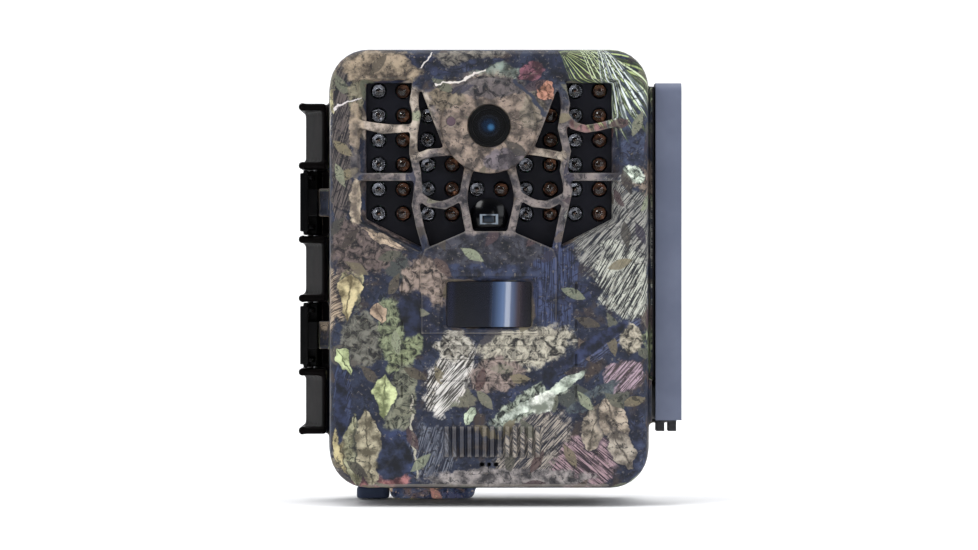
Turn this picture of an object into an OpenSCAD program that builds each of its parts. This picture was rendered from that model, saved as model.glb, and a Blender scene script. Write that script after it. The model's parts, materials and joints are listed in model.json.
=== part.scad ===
// Trail camera: a clamshell case on a tree bracket, with a swivelling side antenna.
// Frame: origin at the mouth of the rear tripod socket, which is level with the middle of the
// case. +Y points towards the tree, +Z up and +X to the right as seen from in front of the lens.
// All lengths are in millimetres. Heights are measured from the middle of the case.

/* [Case] */
// Width of the case at its parting line
case_w = 104; // [104:0.5:106]
// Height of the case
case_h = 142; // [142:1:146]
// Corner radius of the case, seen from in front
corner_r = 13.5; // [13:0.5:14]
// Depth of the front housing
front_depth = 32; // [32:1:36]
// Depth of the rear housing
rear_depth = 24; // [24:1:28]
// Depth of the tree bracket behind the case
bracket_depth = 13; // [13:1:15]
// Thickness of the rear housing's and front face's walls
wall = 2.4; // [2.3:0.1:2.5]

/* [Lens and lights] */
// Height of the lens axis
lens_z = 45.2; // [45:0.1:45.4]
// Outer radius of the black lens ring
lens_ring_r = 6.6; // [6.5:0.1:6.7]
// Outer radius of the moulded collar round the lens
collar_r = 15; // [14.5:0.1:15]
// Distance between neighbouring infrared LEDs, both ways
led_pitch = 7.8; // [7.7:0.05:7.8]
// Height of the lowest row of LEDs
led_bottom_z = 17.5; // [17.3:0.1:17.7]
// Depth of the LED panel below the front face
led_recess = 5.2; // [5:0.1:5.4]

/* [Motion sensor] */
// Width of the motion sensor window
pir_w = 27; // [26:0.5:27]
// Height of the motion sensor window
pir_h = 14.4; // [14:0.2:14.6]
// Height of the window's centre
pir_z = -11.3; // [-11.5:0.1:-11.1]

/* [Antenna] */
// Thickness of the antenna blade, seen from in front
antenna_t = 8.3; // [8:0.1:9]
// Depth of the antenna blade
antenna_d = 16; // [14:1:17]
// Height of the antenna's top
antenna_top = 59.3; // [50:0.1:62]

/* [Batteries] */
// Radius of an AA cell
cell_r = 7.1; // [6.9:0.05:7.1]
// Length of an AA cell with its nub
cell_len = 50.2; // [49.5:0.1:50.2]

/* [Mounts] */
// Wall radius of the two 1/4-20 tripod sockets
socket_r = 2.6; // [2.5:0.05:2.7]
// Height of each strap channel
strap_h = 28; // [26:1:29]
// Radius of the passage for a locking cable
cable_r = 4.1; // [3.8:0.1:4.1]

/* [Hidden] */
$fn = 48;

hair = 0.01;          // overlap that joins two solids of one piece
fit_gap = 0.05;       // gap between pieces that touch, and the clearance of every pin in its bore
parting_gap = 0.3;    // open gap between the two housings
over = 1;             // how far a cutting shape runs past the surface it cuts

// Depth stations along Y, from the tree side to the front
y_rear = -bracket_depth;
y_part = y_rear - rear_depth;
y_front = y_part - front_depth;
y_collar = y_front - 2.5;
y_bezel = y_front + led_recess;
y_led_board = y_front + 11;
y_main = y_part - 12;
y_board_back = y_main + 1.6;
y_panel = y_part - 1;
panel_t = 2;
y_panel_inner = y_panel - panel_t;

camo = [0.36, 0.35, 0.28];
black = [0.06, 0.06, 0.07];
slate = [0.24, 0.25, 0.29];
board_green = [0.05, 0.25, 0.14];
steel = [0.75, 0.76, 0.78];
brass = [0.80, 0.66, 0.34];

// ---------- shared shapes ----------

// Gives a 2D outline, drawn in X and Z, a depth from y0 (front) back to y1
module slab(y0, y1) {
    translate([0, y1, 0]) rotate([90, 0, 0]) linear_extrude(y1 - y0) children();
}

// Cylinder along Y from y0 (front) back to y1
module rod_y(x, z, r, y0, y1) {
    translate([x, y1, z]) rotate([90, 0, 0]) cylinder(h = y1 - y0, r = r);
}

// Cylinder along X from x0 to x1
module rod_x(y, z, r, x0, x1) {
    translate([x0, y, z]) rotate([0, 90, 0]) cylinder(h = x1 - x0, r = r);
}

// Cylinder along Z from z0 up to z1
module rod_z(x, y, r, z0, z1) {
    translate([x, y, z0]) cylinder(h = z1 - z0, r = r);
}

// Box given by its two corners
module box(low, high) {
    translate(low) cube(high - low);
}

// Centred rectangle with round corners
module rounded_rect(w, h, r) {
    square([w - 2 * r, h], center = true);
    square([w, h - 2 * r], center = true);
    for (sx = [-1, 1], sz = [-1, 1])
        translate([sx * (w / 2 - r), sz * (h / 2 - r)]) circle(r);
}

// Outline of the case, moved inwards
module case_outline(inset) {
    rounded_rect(case_w - 2 * inset, case_h - 2 * inset, corner_r - inset);
}

// Thin slice of the case's outside, for hulls
module case_slice(inset, y) {
    slab(y, y + 0.1) case_outline(inset, $fn = 32);
}

// Band of constant width along a centre line
function along(p, i) = p[min(i + 1, len(p) - 1)] - p[max(i - 1, 0)];
function normal(p, i) = [-along(p, i)[1], along(p, i)[0]] / norm(along(p, i));
module strand(p, w) {
    last = len(p) - 1;
    polygon(concat(
        [for (i = [0:last]) p[i] + normal(p, i) * w / 2],
        [for (i = [last:-1:0]) p[i] - normal(p, i) * w / 2]
    ));
}

// Draws its children and their mirror image across X = 0
module both_sides() {
    children();
    mirror([1, 0, 0]) children();
}

// Draws its children and their mirror image across Z = 0
module both_rows() {
    children();
    mirror([0, 0, 1]) children();
}

// ---------- hinge ----------

hinge_x = case_w / 2 + 3;
knuckle_r = 2.8;
hinge_pin_r = 1.25;
// Bottom and top of each knuckle
rear_knuckles = [[-50, -38], [-14, 14], [38, 50]];
front_knuckles = [[-37.7, -14.3], [14.3, 37.7]];

// Knuckles with arms that reach into the case wall between arm_y0 and arm_y1
module knuckles(list, arm_y0, arm_y1) {
    for (k = list) {
        rod_z(hinge_x, y_part, knuckle_r, k[0], k[1]);
        box([case_w / 2 - 2, arm_y0, k[0]], [hinge_x, arm_y1, k[1]]);
    }
}

module hinge_bore() {
    rod_z(hinge_x, y_part, hinge_pin_r + fit_gap, rear_knuckles[0][0] - over,
          rear_knuckles[2][1] + over);
}

module hinge_pin() {
    color(steel) rod_z(hinge_x, y_part, hinge_pin_r, rear_knuckles[0][0], rear_knuckles[2][1]);
}

// ---------- rear case ----------

side_x = -case_w / 2;
skin_x = side_x - 7.8;             // outer face of the latches and of the pads between them
rib_z = [-52.2, -33.3, -9.5, 9.5, 33.3, 52.2];
rib_t = 2.2;
rib_y0 = y_part - 10;
rib_y1 = y_part + 17;
guard_t = 1.6;                     // wall behind each latch
side_gap = 0.5;                    // gap between these ribs and the front housing

latch_z = (rib_z[3] + rib_z[4]) / 2;
latch_pin_x = side_x - 4.4;
latch_pin_y = y_part + 4;
latch_pin_r = 0.75;
latch_pin_half = 12.5;

boss_y = y_rear - 10;              // centre of the base socket and of the power jack
boss_h = 4;
boss_half_d = 9;
boss_ends = [-32.4, -4.6];
base_z = -case_h / 2 - boss_h;
floor_z = -case_h / 2 + wall;
plug_x = -38;
base_socket_x = -16;
insert_r = 4.5;
insert_len = 10;
screw_xz = [for (sx = [-1, 1], sz = [-1, 1]) [sx * 24, sz * 62]];

// Ribs, slanted pads and back walls that shield the two latches
module latch_guards() {
    for (z = rib_z) {
        box([skin_x, rib_y0, z - rib_t / 2], [side_x - side_gap, rib_y1, z + rib_t / 2]);
        box([side_x - side_gap - hair, y_part, z - rib_t / 2], [side_x + 1, rib_y1, z + rib_t / 2]);
        translate([skin_x - 0.4, rib_y0, z]) rotate([-90, 0, 0])
            cylinder(h = rib_y1 - rib_y0, r = rib_t * 0.6);
    }
    for (k = [0, 2, 4]) translate([0, 0, rib_z[k]]) linear_extrude(rib_z[k + 1] - rib_z[k])
        polygon([
            [side_x - side_gap, rib_y0 + 1], [side_x - 1.6, rib_y0 + 1], [skin_x, y_part + 6],
            [skin_x, rib_y1], [side_x + 1, rib_y1], [side_x + 1, y_part], [side_x - side_gap, y_part],
        ]);
    for (k = [1, 3]) box([skin_x + 0.8, rib_y1 - guard_t, rib_z[k]], [side_x + 1, rib_y1, rib_z[k + 1]]);
}

// Boss under the case that holds the tripod insert
module base_boss() {
    edge_r = 2.5;
    hull() for (x = [boss_ends[0] + edge_r, boss_ends[1] - edge_r])
        translate([x, boss_y - boss_half_d, base_z + edge_r]) rotate([-90, 0, 0])
            cylinder(h = 2 * boss_half_d, r = edge_r, $fn = 32);
    box([boss_ends[0], boss_y - boss_half_d, base_z + edge_r],
        [boss_ends[1], boss_y + boss_half_d, -case_h / 2 + 1]);
}

groove_inset = 1.8;
groove_w = 1.3;
module seal_ring(w, y0, y1) {
    difference() {
        slab(y0, y1) case_outline(groove_inset);
        slab(y0 - over, y1 + over) case_outline(groove_inset + w);
    }
}

module rear_shell() {
    rim = 4;
    rim_d = 3;
    difference() {
        union() {
            slab(y_part, y_rear - 3) case_outline(0);
            hull() {
                case_slice(0, y_rear - 3.1);
                case_slice(0.9, y_rear - 1.2);
                case_slice(3, y_rear - 0.1);
            }
            knuckles(rear_knuckles, y_part, y_part + knuckle_r);
            latch_guards();
            base_boss();
        }
        slab(y_part + rim_d, y_rear - wall) case_outline(wall);
        slab(y_part - over, y_part + rim_d + hair) case_outline(rim);
    }
}

module rear_housing() {
    screw_boss_h = 5;
    guide_d = 12;
    jack_pocket_r = 4.25;
    color(camo) difference() {
        union() {
            rear_shell();
            for (s = screw_xz) rod_y(s[0], s[1], 3.2, y_rear - wall - screw_boss_h, y_rear - hair);
            both_sides() box([tray_w / 2 + 0.2, y_rear - wall - guide_d, -50],
                             [case_w / 2 - hair, y_rear - wall + hair, 50]);
            rod_z(base_socket_x, boss_y, insert_r + 2, -case_h / 2 + hair, base_z + insert_len + 1);
        }
        seal_ring(groove_w, y_part - over, y_part + 1.2);
        hinge_bore();
        both_rows() rod_z(latch_pin_x, latch_pin_y, latch_pin_r + fit_gap,
                          latch_z - latch_pin_half - 0.1, latch_z + latch_pin_half + 0.1);
        for (s = screw_xz) rod_y(s[0], s[1], 1.25, y_rear - wall - screw_boss_h - over, y_rear + over);
        rod_z(plug_x, boss_y, 3.2, base_z, floor_z + over);
        rod_z(plug_x, boss_y, jack_pocket_r, floor_z, floor_z + 10);
        rod_z(base_socket_x, boss_y, insert_r, base_z - over, base_z + insert_len);
    }
}

module latch_pins() {
    color(steel) both_rows() rod_z(latch_pin_x, latch_pin_y, latch_pin_r,
                                   latch_z - latch_pin_half, latch_z + latch_pin_half);
}

module door_seal() {
    color(slate) seal_ring(groove_w - 0.1, y_part - parting_gap + fit_gap, y_part + 1.15);
}

// ---------- tree bracket ----------

plate_t = 2.5;
plate_y = y_rear + plate_t;
rail_x = 29;
rail_w = 12;
rail_h = 116;
strap_z = 33;
strap_d = 5;
cable_y = -cable_r - 1.3;
cable_z = 11.6;

module tree_bracket() {
    tooth_pitch = 6;
    tooth = 1.6;
    color(camo) difference() {
        union() {
            slab(y_rear, plate_y) rounded_rect(76, 132, 6);
            both_sides() box([rail_x - rail_w / 2, plate_y - hair, -rail_h / 2],
                             [rail_x + rail_w / 2, 0, rail_h / 2]);
            rod_y(0, 0, insert_r + 2, plate_y - hair, 0);
        }
        // Notches that leave teeth to bite the bark
        both_sides() for (z = [-rail_h / 2 + tooth_pitch / 2:tooth_pitch:rail_h / 2])
            translate([rail_x - rail_w, 0, z]) rotate([45, 0, 0])
                translate([0, -tooth / 2, -tooth / 2]) cube([2 * rail_w, tooth, tooth]);
        both_rows() box([-case_w / 2, plate_y, strap_z - strap_h / 2],
                        [case_w / 2, plate_y + strap_d, strap_z + strap_h / 2]);
        rod_x(cable_y, cable_z, cable_r, -case_w / 2, case_w / 2);
        rod_y(0, 0, insert_r, y_rear - over, over);
        for (s = screw_xz) rod_y(s[0], s[1], 1.4, y_rear - over, plate_y + over);
    }
}

module bracket_screws() {
    head_h = 2;
    color(steel) for (s = screw_xz) difference() {
        union() {
            rod_y(s[0], s[1], 2.7, plate_y + 0.02, plate_y + head_h);
            rod_y(s[0], s[1], 1.2, y_rear - wall - 4.5, plate_y + 0.1);
        }
        for (turn = [0, 90]) translate([s[0], plate_y + head_h, s[1]]) rotate([0, turn, 0])
            cube([3.2, 2, 0.7], center = true);
    }
}

module rear_tripod_insert() {
    color(brass) difference() {
        rod_y(0, 0, insert_r - 0.02, y_rear + fit_gap, 0);
        rod_y(0, 0, socket_r, y_rear + 1.5, over);
    }
}

module base_tripod_insert() {
    color(brass) difference() {
        rod_z(base_socket_x, boss_y, insert_r - 0.02, base_z, base_z + insert_len - fit_gap);
        rod_z(base_socket_x, boss_y, socket_r, base_z - over, base_z + insert_len - 1.5);
    }
}

// ---------- power ----------

tray_w = 92;
tray_h = 115;
tray_d = 17;
tray_back = y_rear - wall - 0.3;
tray_front = tray_back - tray_d;
cell_y = tray_back - 1.1 - cell_r;
cell_pitch = 14.9;
cell_x = [for (i = [0:5]) (i - 2.5) * cell_pitch];
pocket = [1.2, 56.2];              // nearest and furthest end of a cell pocket from the middle
contact_t = 0.4;
spring_len = pocket[1] - pocket[0] - 2 * contact_t - cell_len - 0.1;
tongue_z = 66;

// Cells point outwards and inwards in turn; this is a cell's flat end, on its spring
function outward(i) = i % 2 == 0;
function flat_end(i) = outward(i) ? pocket[0] + contact_t + spring_len : pocket[1] - contact_t - spring_len;

module battery_tray() {
    scoop_r = 10;
    color(black) difference() {
        union() {
            box([-tray_w / 2, tray_front, -tray_h / 2], [tray_w / 2, tray_back, tray_h / 2]);
            box([-14, tray_back - 6, tray_h / 2 - hair], [14, tray_back - 3, tongue_z]);
        }
        both_rows() {
            box([-44.4, tray_front - over, pocket[0]], [44.4, cell_y, pocket[1]]);
            for (x = cell_x) rod_z(x, cell_y, cell_r + 0.15, pocket[0], pocket[1]);
        }
        both_sides() rod_y(tray_w / 2 + scoop_r * 0.8, 0, scoop_r, tray_front - over, tray_front + 8);
    }
}

module battery_cells() {
    nub = 1.2;
    color(brass) both_rows() for (i = [0:5])
        translate([cell_x[i], cell_y, flat_end(i)]) mirror([0, 0, outward(i) ? 0 : 1]) {
            cylinder(h = cell_len - nub, r = cell_r);
            cylinder(h = cell_len, r = 2.6);
        }
}

// Conical coil of wire along +Z, wound as a tube with five sides
module coil(turns, r0, r1, h, wire_r) {
    steps = 10;
    sides = 5;
    n = turns * steps;
    function ring(i) = let (a = 360 * i / steps, r = r0 + (r1 - r0) * i / n, z = wire_r + (h - 2 * wire_r) * i / n)
        [for (k = [0:sides - 1]) let (b = 360 * k / sides)
            [(r + wire_r * cos(b)) * cos(a), (r + wire_r * cos(b)) * sin(a), z + wire_r * sin(b)]];
    polyhedron(
        points = [for (i = [0:n]) each ring(i)],
        faces = concat(
            [[for (k = [0:sides - 1]) k]],
            [for (i = [0:n - 1], k = [0:sides - 1]) let (m = (k + 1) % sides)
                [i * sides + k, (i + 1) * sides + k, (i + 1) * sides + m, i * sides + m]],
            [[for (k = [sides - 1:-1:0]) n * sides + k]]
        )
    );
}

module battery_springs() {
    color(steel) both_rows() for (i = [0:5])
        translate([cell_x[i], cell_y, flat_end(i)]) mirror([0, 0, outward(i) ? 1 : 0])
            translate([0, 0, fit_gap]) coil(3, 1.8, 4.2, spring_len - 2 * fit_gap, 0.35);
}

module battery_contacts() {
    color(steel) both_rows() for (x = cell_x, z = [pocket[0], pocket[1] - contact_t])
        box([x - 5, cell_y - 5, z + 0.02], [x + 5, cell_y + 4, z + contact_t - 0.02]);
}

terminal_x = [-8, 8];
terminal_z = 61.5;
// Sprung probes that carry power from the tray to the door
module tray_terminals() {
    color(brass) for (x = terminal_x) {
        rod_y(x, terminal_z, 2.5, y_part + 1.6, tray_back - 6 - fit_gap);
        rod_y(x, terminal_z, 0.9, y_panel + 0.15, y_part + 2);
    }
}

module dc_jack() {
    jack_h = 9;
    color(black) difference() {
        rod_z(plug_x, boss_y, 4.2, floor_z, floor_z + jack_h);
        rod_z(plug_x, boss_y, 2.8, floor_z - over, floor_z + jack_h - 1);
    }
    color(brass) rod_z(plug_x, boss_y, 1, floor_z + 1, floor_z + jack_h - 0.5);
}

// Rubber plug that seals the power jack
module dc_plug() {
    edge_r = 2;
    half_w = 5.3;
    half_d = 7;
    color(black) difference() {
        union() {
            hull() for (sx = [-1, 1], sy = [-1, 1])
                translate([plug_x + sx * (half_w - edge_r), boss_y + sy * (half_d - edge_r), base_z])
                    cylinder(h = boss_h - 0.15, r = edge_r, $fn = 32);
            rod_z(plug_x, boss_y, 2.7, base_z + over, floor_z + 3.5);
        }
        rod_z(plug_x, boss_y, 1.6, base_z + boss_h, floor_z + 5);
    }
}

// ---------- latches ----------

catch_y = y_part - 8;
catch_d = 3;
catch_x = side_x - 3;
catch_h = 9;

// One-piece snap latch: an outer lever on a hinge lug, with a claw beside the door's catch
module latch(z) {
    half_h = 10.4;
    claw_half = 4.5;
    lever_t = 1.5;
    front = catch_y - 3.2;
    color(black) translate([0, 0, z]) difference() {
        union() {
            box([skin_x, front, -half_h], [skin_x + lever_t, latch_pin_y + 2.2, half_h]);
            box([skin_x - 1, front - 0.8, -half_h + 1], [skin_x + lever_t, front + 1.5, half_h - 1]);
            rod_z(latch_pin_x, latch_pin_y, 2.2, -half_h, half_h);
            box([skin_x, latch_pin_y - 2.2, -half_h], [latch_pin_x, latch_pin_y + 2.2, half_h]);
            box([skin_x, front, -claw_half], [catch_x - 0.3, front + 2.4, claw_half]);
            for (s = [-1, 1]) box([skin_x, front, s * 8 - 0.6], [skin_x + 3, latch_pin_y, s * 8 + 0.6]);
        }
        rod_z(latch_pin_x, latch_pin_y, latch_pin_r + fit_gap, -half_h - over, half_h + over);
    }
}

module upper_latch() latch(latch_z);
module lower_latch() latch(-latch_z);

// ---------- front housing ----------

window_top = 59;
window_mid = 7.3;                  // end of the raised middle of its lower edge
web_t = 2.2;
web_w = 2.5;

// Right half of the LED window's outline; grow widens it
function window_side(grow) = [
    [39 + grow, window_top + grow * 0.4],
    [39 + grow, 15.8 - grow * 0.3],
    [20.4, 6.4 - grow * 0.6],
    [window_mid, 11.9 - grow * 0.6],
];

// Centre lines of the branching ribs across the LED window
web = [
    [[-22.8, 60], [-24, 52.7], [-22.8, 48.8], [-23.8, 43], [-24.1, 36.7], [-22.8, 30.9],
     [-22.4, 25.5], [-23.3, 20.2], [-21.9, 13.4], [-19.5, 5]],
    [[22.8, 60], [24.5, 52.2], [23, 44.5], [24.8, 37.2], [23.6, 31.3], [25.3, 25], [23.8, 18.2],
     [21, 5]],
    [[-43, 46.3], [-33.5, 44], [-23.8, 44.7]],
    [[24.2, 48.4], [26.7, 45.4], [30.6, 44.3], [34.5, 44.9], [43, 47]],
    [[-43, 29.1], [-23, 29.1]],
    [[24.5, 29.1], [43, 29.1]],
    [[-24, 34.8], [-19, 36.7], [-12, 37.3]],
    [[12, 37.6], [19, 36.5], [24.6, 35.3]],
    [[-22.6, 23.4], [-19, 20.7], [-14.1, 20], [-8.2, 23]],
    [[9.2, 23.4], [14.1, 20.7], [19, 20.2], [24.8, 23.2]],
    [[-6.3, 32], [-7.5, 27], [-8.3, 22.6], [-7.3, 17.3], [-5.9, 10]],
    [[7, 32], [8.5, 27], [9.4, 22.6], [8.3, 17.3], [6.6, 10]],
];

// Brow over the motion sensor and the frame round it
brow = [
    [-7.3, 11.9], [-20.4, 6.2], [-21.5, 3], [-21.5, -20.7],
    [21.5, -20.7], [21.5, 3], [20.4, 6.2], [7.3, 11.9],
];
brow_raise = 1.2;
light_z = 16.3;
light_r = 6;
post_xz = [for (sx = [-1, 1], z = [-60, 0, 60]) [sx * 43.3, z]];
post_top = y_panel_inner - fit_gap;
cavity_inset = 3.8;
mic_z = -62;
indicator = [-12, lens_z + 1.4];
indicator_r = 1.45;
antenna_y = y_main - 4;
antenna_z = -42;
pad_half = 7;

// Whole outline of the LED window; grow widens it
module led_window_2d(grow) {
    half = window_side(grow);
    polygon(concat(half, [for (i = [len(half) - 1:-1:0]) [-half[i][0], half[i][1]]]));
}

// Its right half beside the middle, which is convex
module led_window_half_2d(grow) {
    polygon(concat([[window_mid, window_top + grow * 0.4]], window_side(grow)));
}

// What stays solid across the LED window
module window_bars_2d() {
    fan_z = 37.3;
    polygon([[-22.8, window_top + 1], [-14, fan_z], [14, fan_z], [22.8, window_top + 1]]);
    translate([0, lens_z]) circle(collar_r);
    for (line = web) strand(line, web_w);
}

module front_shell_outer() {
    hull() {
        case_slice(4.2, y_front);
        case_slice(2.8, y_front + 0.4);
        case_slice(1.8, y_front + 1.4);
        case_slice(1.4, y_front + 3.2);
        case_slice(0.5, y_part - parting_gap - 0.1);
    }
}

// Shell with the bevelled LED window cut in it and a skirt that reaches back to the bezel
module front_shell() {
    bevel = 3;
    difference() {
        union() {
            difference() {
                front_shell_outer();
                slab(y_front + wall, y_part + over) case_outline(cavity_inset);
            }
            slab(y_front + 0.5, y_bezel - fit_gap) led_window_2d(1.8);
        }
        both_sides() hull() {
            slab(y_front - 0.1, y_front) led_window_half_2d(bevel);
            slab(y_front + bevel, y_front + bevel + 0.1) led_window_half_2d(0);
        }
        slab(y_front - over, y_bezel) led_window_2d(0);
    }
}

// Raised frame, embossed apron and the row of slats near the bottom
module face_reliefs() {
    slat_pitch = 2.4;
    slab(y_front - brow_raise, y_front + 0.5) polygon(brow);
    slab(y_front - 0.5, y_front + 0.5) polygon([[-20, -46.5], [20, -46.5], [35, -66], [-35, -66]]);
    for (i = [-6:6]) slab(y_front - 1.7, y_front)
        translate([i * slat_pitch + 1, -54.8]) square([1.3, 9.6], center = true);
}

module face_grooves() {
    for (z = [-24.5, -28.7, -35.5, -41.8])
        slab(y_front - over, y_front + 0.6) translate([0, z]) square([31, 0.8], center = true);
    both_sides() for (z = [-6, -18, -29, -39])
        slab(y_front - over, y_front + 0.8) translate([27.7, z]) square([1, 4.5], center = true);
}

module pir_opening() {
    hull() {
        slab(y_front - brow_raise - 0.1, y_front - brow_raise)
            translate([0, pir_z]) square([pir_w + 5, pir_h + 4], center = true);
        slab(y_front + 1.4, y_front + 1.5)
            translate([0, pir_z]) square([pir_w, pir_h], center = true);
    }
    slab(y_front, y_front + 2 * wall) translate([0, pir_z]) square([pir_w, pir_h], center = true);
}

module lens_collar() {
    chamfer = 1.2;
    tube_r = 9;
    rod_y(0, lens_z, collar_r, y_collar + chamfer, y_front + wall);
    translate([0, y_collar, lens_z]) rotate([-90, 0, 0])
        cylinder(h = chamfer + hair, r1 = collar_r - 3.2, r2 = collar_r);
    rod_y(0, lens_z, tube_r, y_front, y_front + 6);
}

module front_housing() {
    color(camo) difference() {
        union() {
            front_shell();
            slab(y_front, y_front + web_t) window_bars_2d();
            lens_collar();
            face_reliefs();
            for (p = post_xz) rod_y(p[0], p[1], 3.2, y_front + wall - hair, post_top);
            for (s = [-1, 1]) box([catch_x, catch_y, s * latch_z - catch_h / 2],
                                  [side_x + 3, catch_y + catch_d, s * latch_z + catch_h / 2]);
            knuckles(front_knuckles, y_part - knuckle_r, y_part - parting_gap);
            box([case_w / 2 - cavity_inset - hair, antenna_y - pad_half, antenna_z - pad_half],
                [case_w / 2, antenna_y + pad_half, antenna_z + pad_half]);
            box([case_w / 2 - 1.5, antenna_y - 5, antenna_z + 6.5],
                [case_w / 2 + 1, antenna_y + 11, antenna_top - 1]);
        }
        face_grooves();
        pir_opening();
        rod_y(0, lens_z, lens_ring_r + 0.1, y_collar - over, y_front + 7);
        rod_y(indicator[0], indicator[1], indicator_r + fit_gap, y_collar - over, y_front + 7);
        for (i = [-1:1]) rod_y(i * 2.24, mic_z, 0.65, y_front - over, y_front + 4);
        for (p = post_xz) rod_y(p[0], p[1], 1.1, post_top - 9, y_part);
        hinge_bore();
        rod_x(antenna_y, antenna_z, 3.5, case_w / 2 - 8, case_w / 2 + over);
    }
}

// ---------- LEDs and their boards ----------

// Nearest column of each LED row, in pitches from the middle, from the bottom row up
row_start = [1.5, 0.5, 1.5, 2.5, 2.5, 3.5];
leds = [for (row = [0:5], c = [-4.5:1:4.5]) if (abs(c) >= row_start[row])
        [c * led_pitch, led_bottom_z + row * led_pitch]];
led_r = 2.5;
lens_hole_r = 9.3;

module led_bezel() {
    bezel_t = 2;
    color(black) difference() {
        slab(y_bezel, y_bezel + bezel_t) led_window_2d(0.9);
        for (p = leds) rod_y(p[0], p[1], led_r + 0.1, y_bezel - over, y_bezel + 3);
        rod_y(0, lens_z, lens_hole_r, y_bezel - over, y_bezel + 3);
        rod_y(indicator[0], indicator[1], indicator_r + 0.1, y_bezel - over, y_bezel + 3);
        rod_y(0, light_z, 3, y_bezel - over, y_bezel + 3);
    }
}

module led_board() {
    color(board_green) difference() {
        slab(y_led_board, y_led_board + 1.2) led_window_2d(0);
        rod_y(0, lens_z, lens_hole_r, y_led_board - over, y_led_board + 3);
    }
}

module infrared_leds() {
    dome_y = y_bezel + 0.2;
    color([0.75, 0.72, 0.78]) for (p = leds) {
        translate([p[0], dome_y, p[1]]) sphere(led_r);
        rod_y(p[0], p[1], led_r, dome_y, y_led_board - fit_gap);
        rod_y(p[0], p[1], 2.8, y_led_board - 1.1, y_led_board - fit_gap);
    }
}

module indicator_led() {
    color([0.5, 0.08, 0.06])
        rod_y(indicator[0], indicator[1], indicator_r, y_collar + 0.8, y_led_board - fit_gap);
}

// Domed window over the light sensor, cut flat below
module light_window() {
    dome_r = 12.5;
    color(black) intersection() {
        translate([0, y_bezel + dome_r - 3.2, light_z]) sphere(dome_r);
        slab(y_bezel - 4, y_bezel - fit_gap) intersection() {
            translate([0, light_z]) circle(light_r);
            translate([-light_r, light_z - 3.4]) square(2 * light_r);
        }
    }
}

module light_sensor() {
    color(brass) rod_y(0, light_z, 2.5, y_bezel + 0.2, y_led_board - fit_gap);
}

// ---------- lens and infrared-cut filter ----------

barrel_y = y_collar - 0.5;
thread_r = 5.6;
filter_y = y_main - 3.6;
filter_t = 1.2;
pane = 5.6;
bar = 1;
filter_step = pane + bar;

module lens_barrel() {
    throat_r = 3.6;
    color(black) difference() {
        union() {
            rod_y(0, lens_z, lens_ring_r, barrel_y, barrel_y + 9);
            rod_y(0, lens_z, thread_r, barrel_y + 8, filter_y - 0.5);
        }
        rod_y(0, lens_z, 5.3, barrel_y - over, barrel_y + 1.1);
        translate([0, barrel_y + 1, lens_z]) rotate([-90, 0, 0])
            cylinder(h = 6.5, r1 = 4.9, r2 = throat_r);
        rod_y(0, lens_z, throat_r, barrel_y + 7, filter_y);
    }
}

module lens_cover() {
    color([0.2, 0.25, 0.35]) rod_y(0, lens_z, 5.25, barrel_y + 0.4, barrel_y + 1.05);
}

module lens_elements() {
    color([0.5, 0.6, 0.8]) for (k = [0:2])
        rod_y(0, lens_z, 3.55, barrel_y + 7.6 + k * 3, barrel_y + 9.2 + k * 3);
}

// Holder on the main board; the filter frame slides through its slot
module lens_holder() {
    half = [12, 8];
    slot = [10.9, 4.2];
    sensor_well = 4.6;
    front = y_main - 7;
    color(black) difference() {
        box([-half[0], front, lens_z - half[1]], [half[0], y_main - fit_gap, lens_z + half[1]]);
        rod_y(0, lens_z, thread_r + fit_gap, front - over, filter_y);
        box([-slot[0], filter_y - 0.1, lens_z - slot[1]],
            [slot[0], filter_y + filter_t + 0.1, lens_z + slot[1]]);
        box([-sensor_well, filter_y, lens_z - sensor_well],
            [sensor_well, y_main, lens_z + sensor_well]);
    }
}

module filter_panes(grow, y0, y1) {
    half = pane / 2 + grow;
    for (i = [0, 1])
        box([i * filter_step - half, y0, lens_z - half], [i * filter_step + half, y1, lens_z + half]);
}

module ir_cut_frame() {
    half = pane / 2 + bar;
    color(slate) difference() {
        box([-half, filter_y, lens_z - half],
            [filter_step + half, filter_y + filter_t, lens_z + half]);
        filter_panes(0, filter_y - over, filter_y + filter_t + over);
    }
}

module ir_cut_filters() {
    color([0.3, 0.7, 0.8]) filter_panes(-0.03, filter_y + 0.3, filter_y + 0.9);
}

module ir_cut_coil() {
    color([0.6, 0.35, 0.15]) rod_x(y_main - 2.7, lens_z, 2.5, 12.5, 20);
}

module image_sensor() {
    half = 4;
    color(black) box([-half, y_main - 1.5, lens_z - half], [half, y_main - fit_gap, lens_z + half]);
}

// ---------- motion sensor and microphone ----------

module pir_lens() {
    flange = 2.5;
    back_y = y_front + wall;
    bow_r = 60;
    color([0.06, 0.08, 0.12]) {
        slab(back_y + fit_gap, back_y + 1)
            translate([0, pir_z]) square([pir_w + 2 * flange, pir_h + 2 * flange], center = true);
        intersection() {
            slab(y_front - over, back_y + 0.5)
                translate([0, pir_z]) square([pir_w - 0.1, pir_h - 0.1], center = true);
            rod_z(0, y_front + 0.4 + bow_r, bow_r, pir_z - pir_h, pir_z + pir_h, $fn = 360);
        }
    }
}

module pir_sensor() {
    can_y = y_main - 8;
    color(steel) {
        rod_y(0, pir_z, 4.1, can_y, can_y + 4);
        rod_y(0, pir_z, 4.6, can_y + 3.4, can_y + 4);
        rod_y(0, pir_z, 3.5, can_y + 3.9, y_main - fit_gap);
    }
}

module microphone() {
    color(steel) rod_y(0, mic_z, 4, y_front + wall + fit_gap, y_front + wall + 2.5);
}

// ---------- main board ----------

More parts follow.
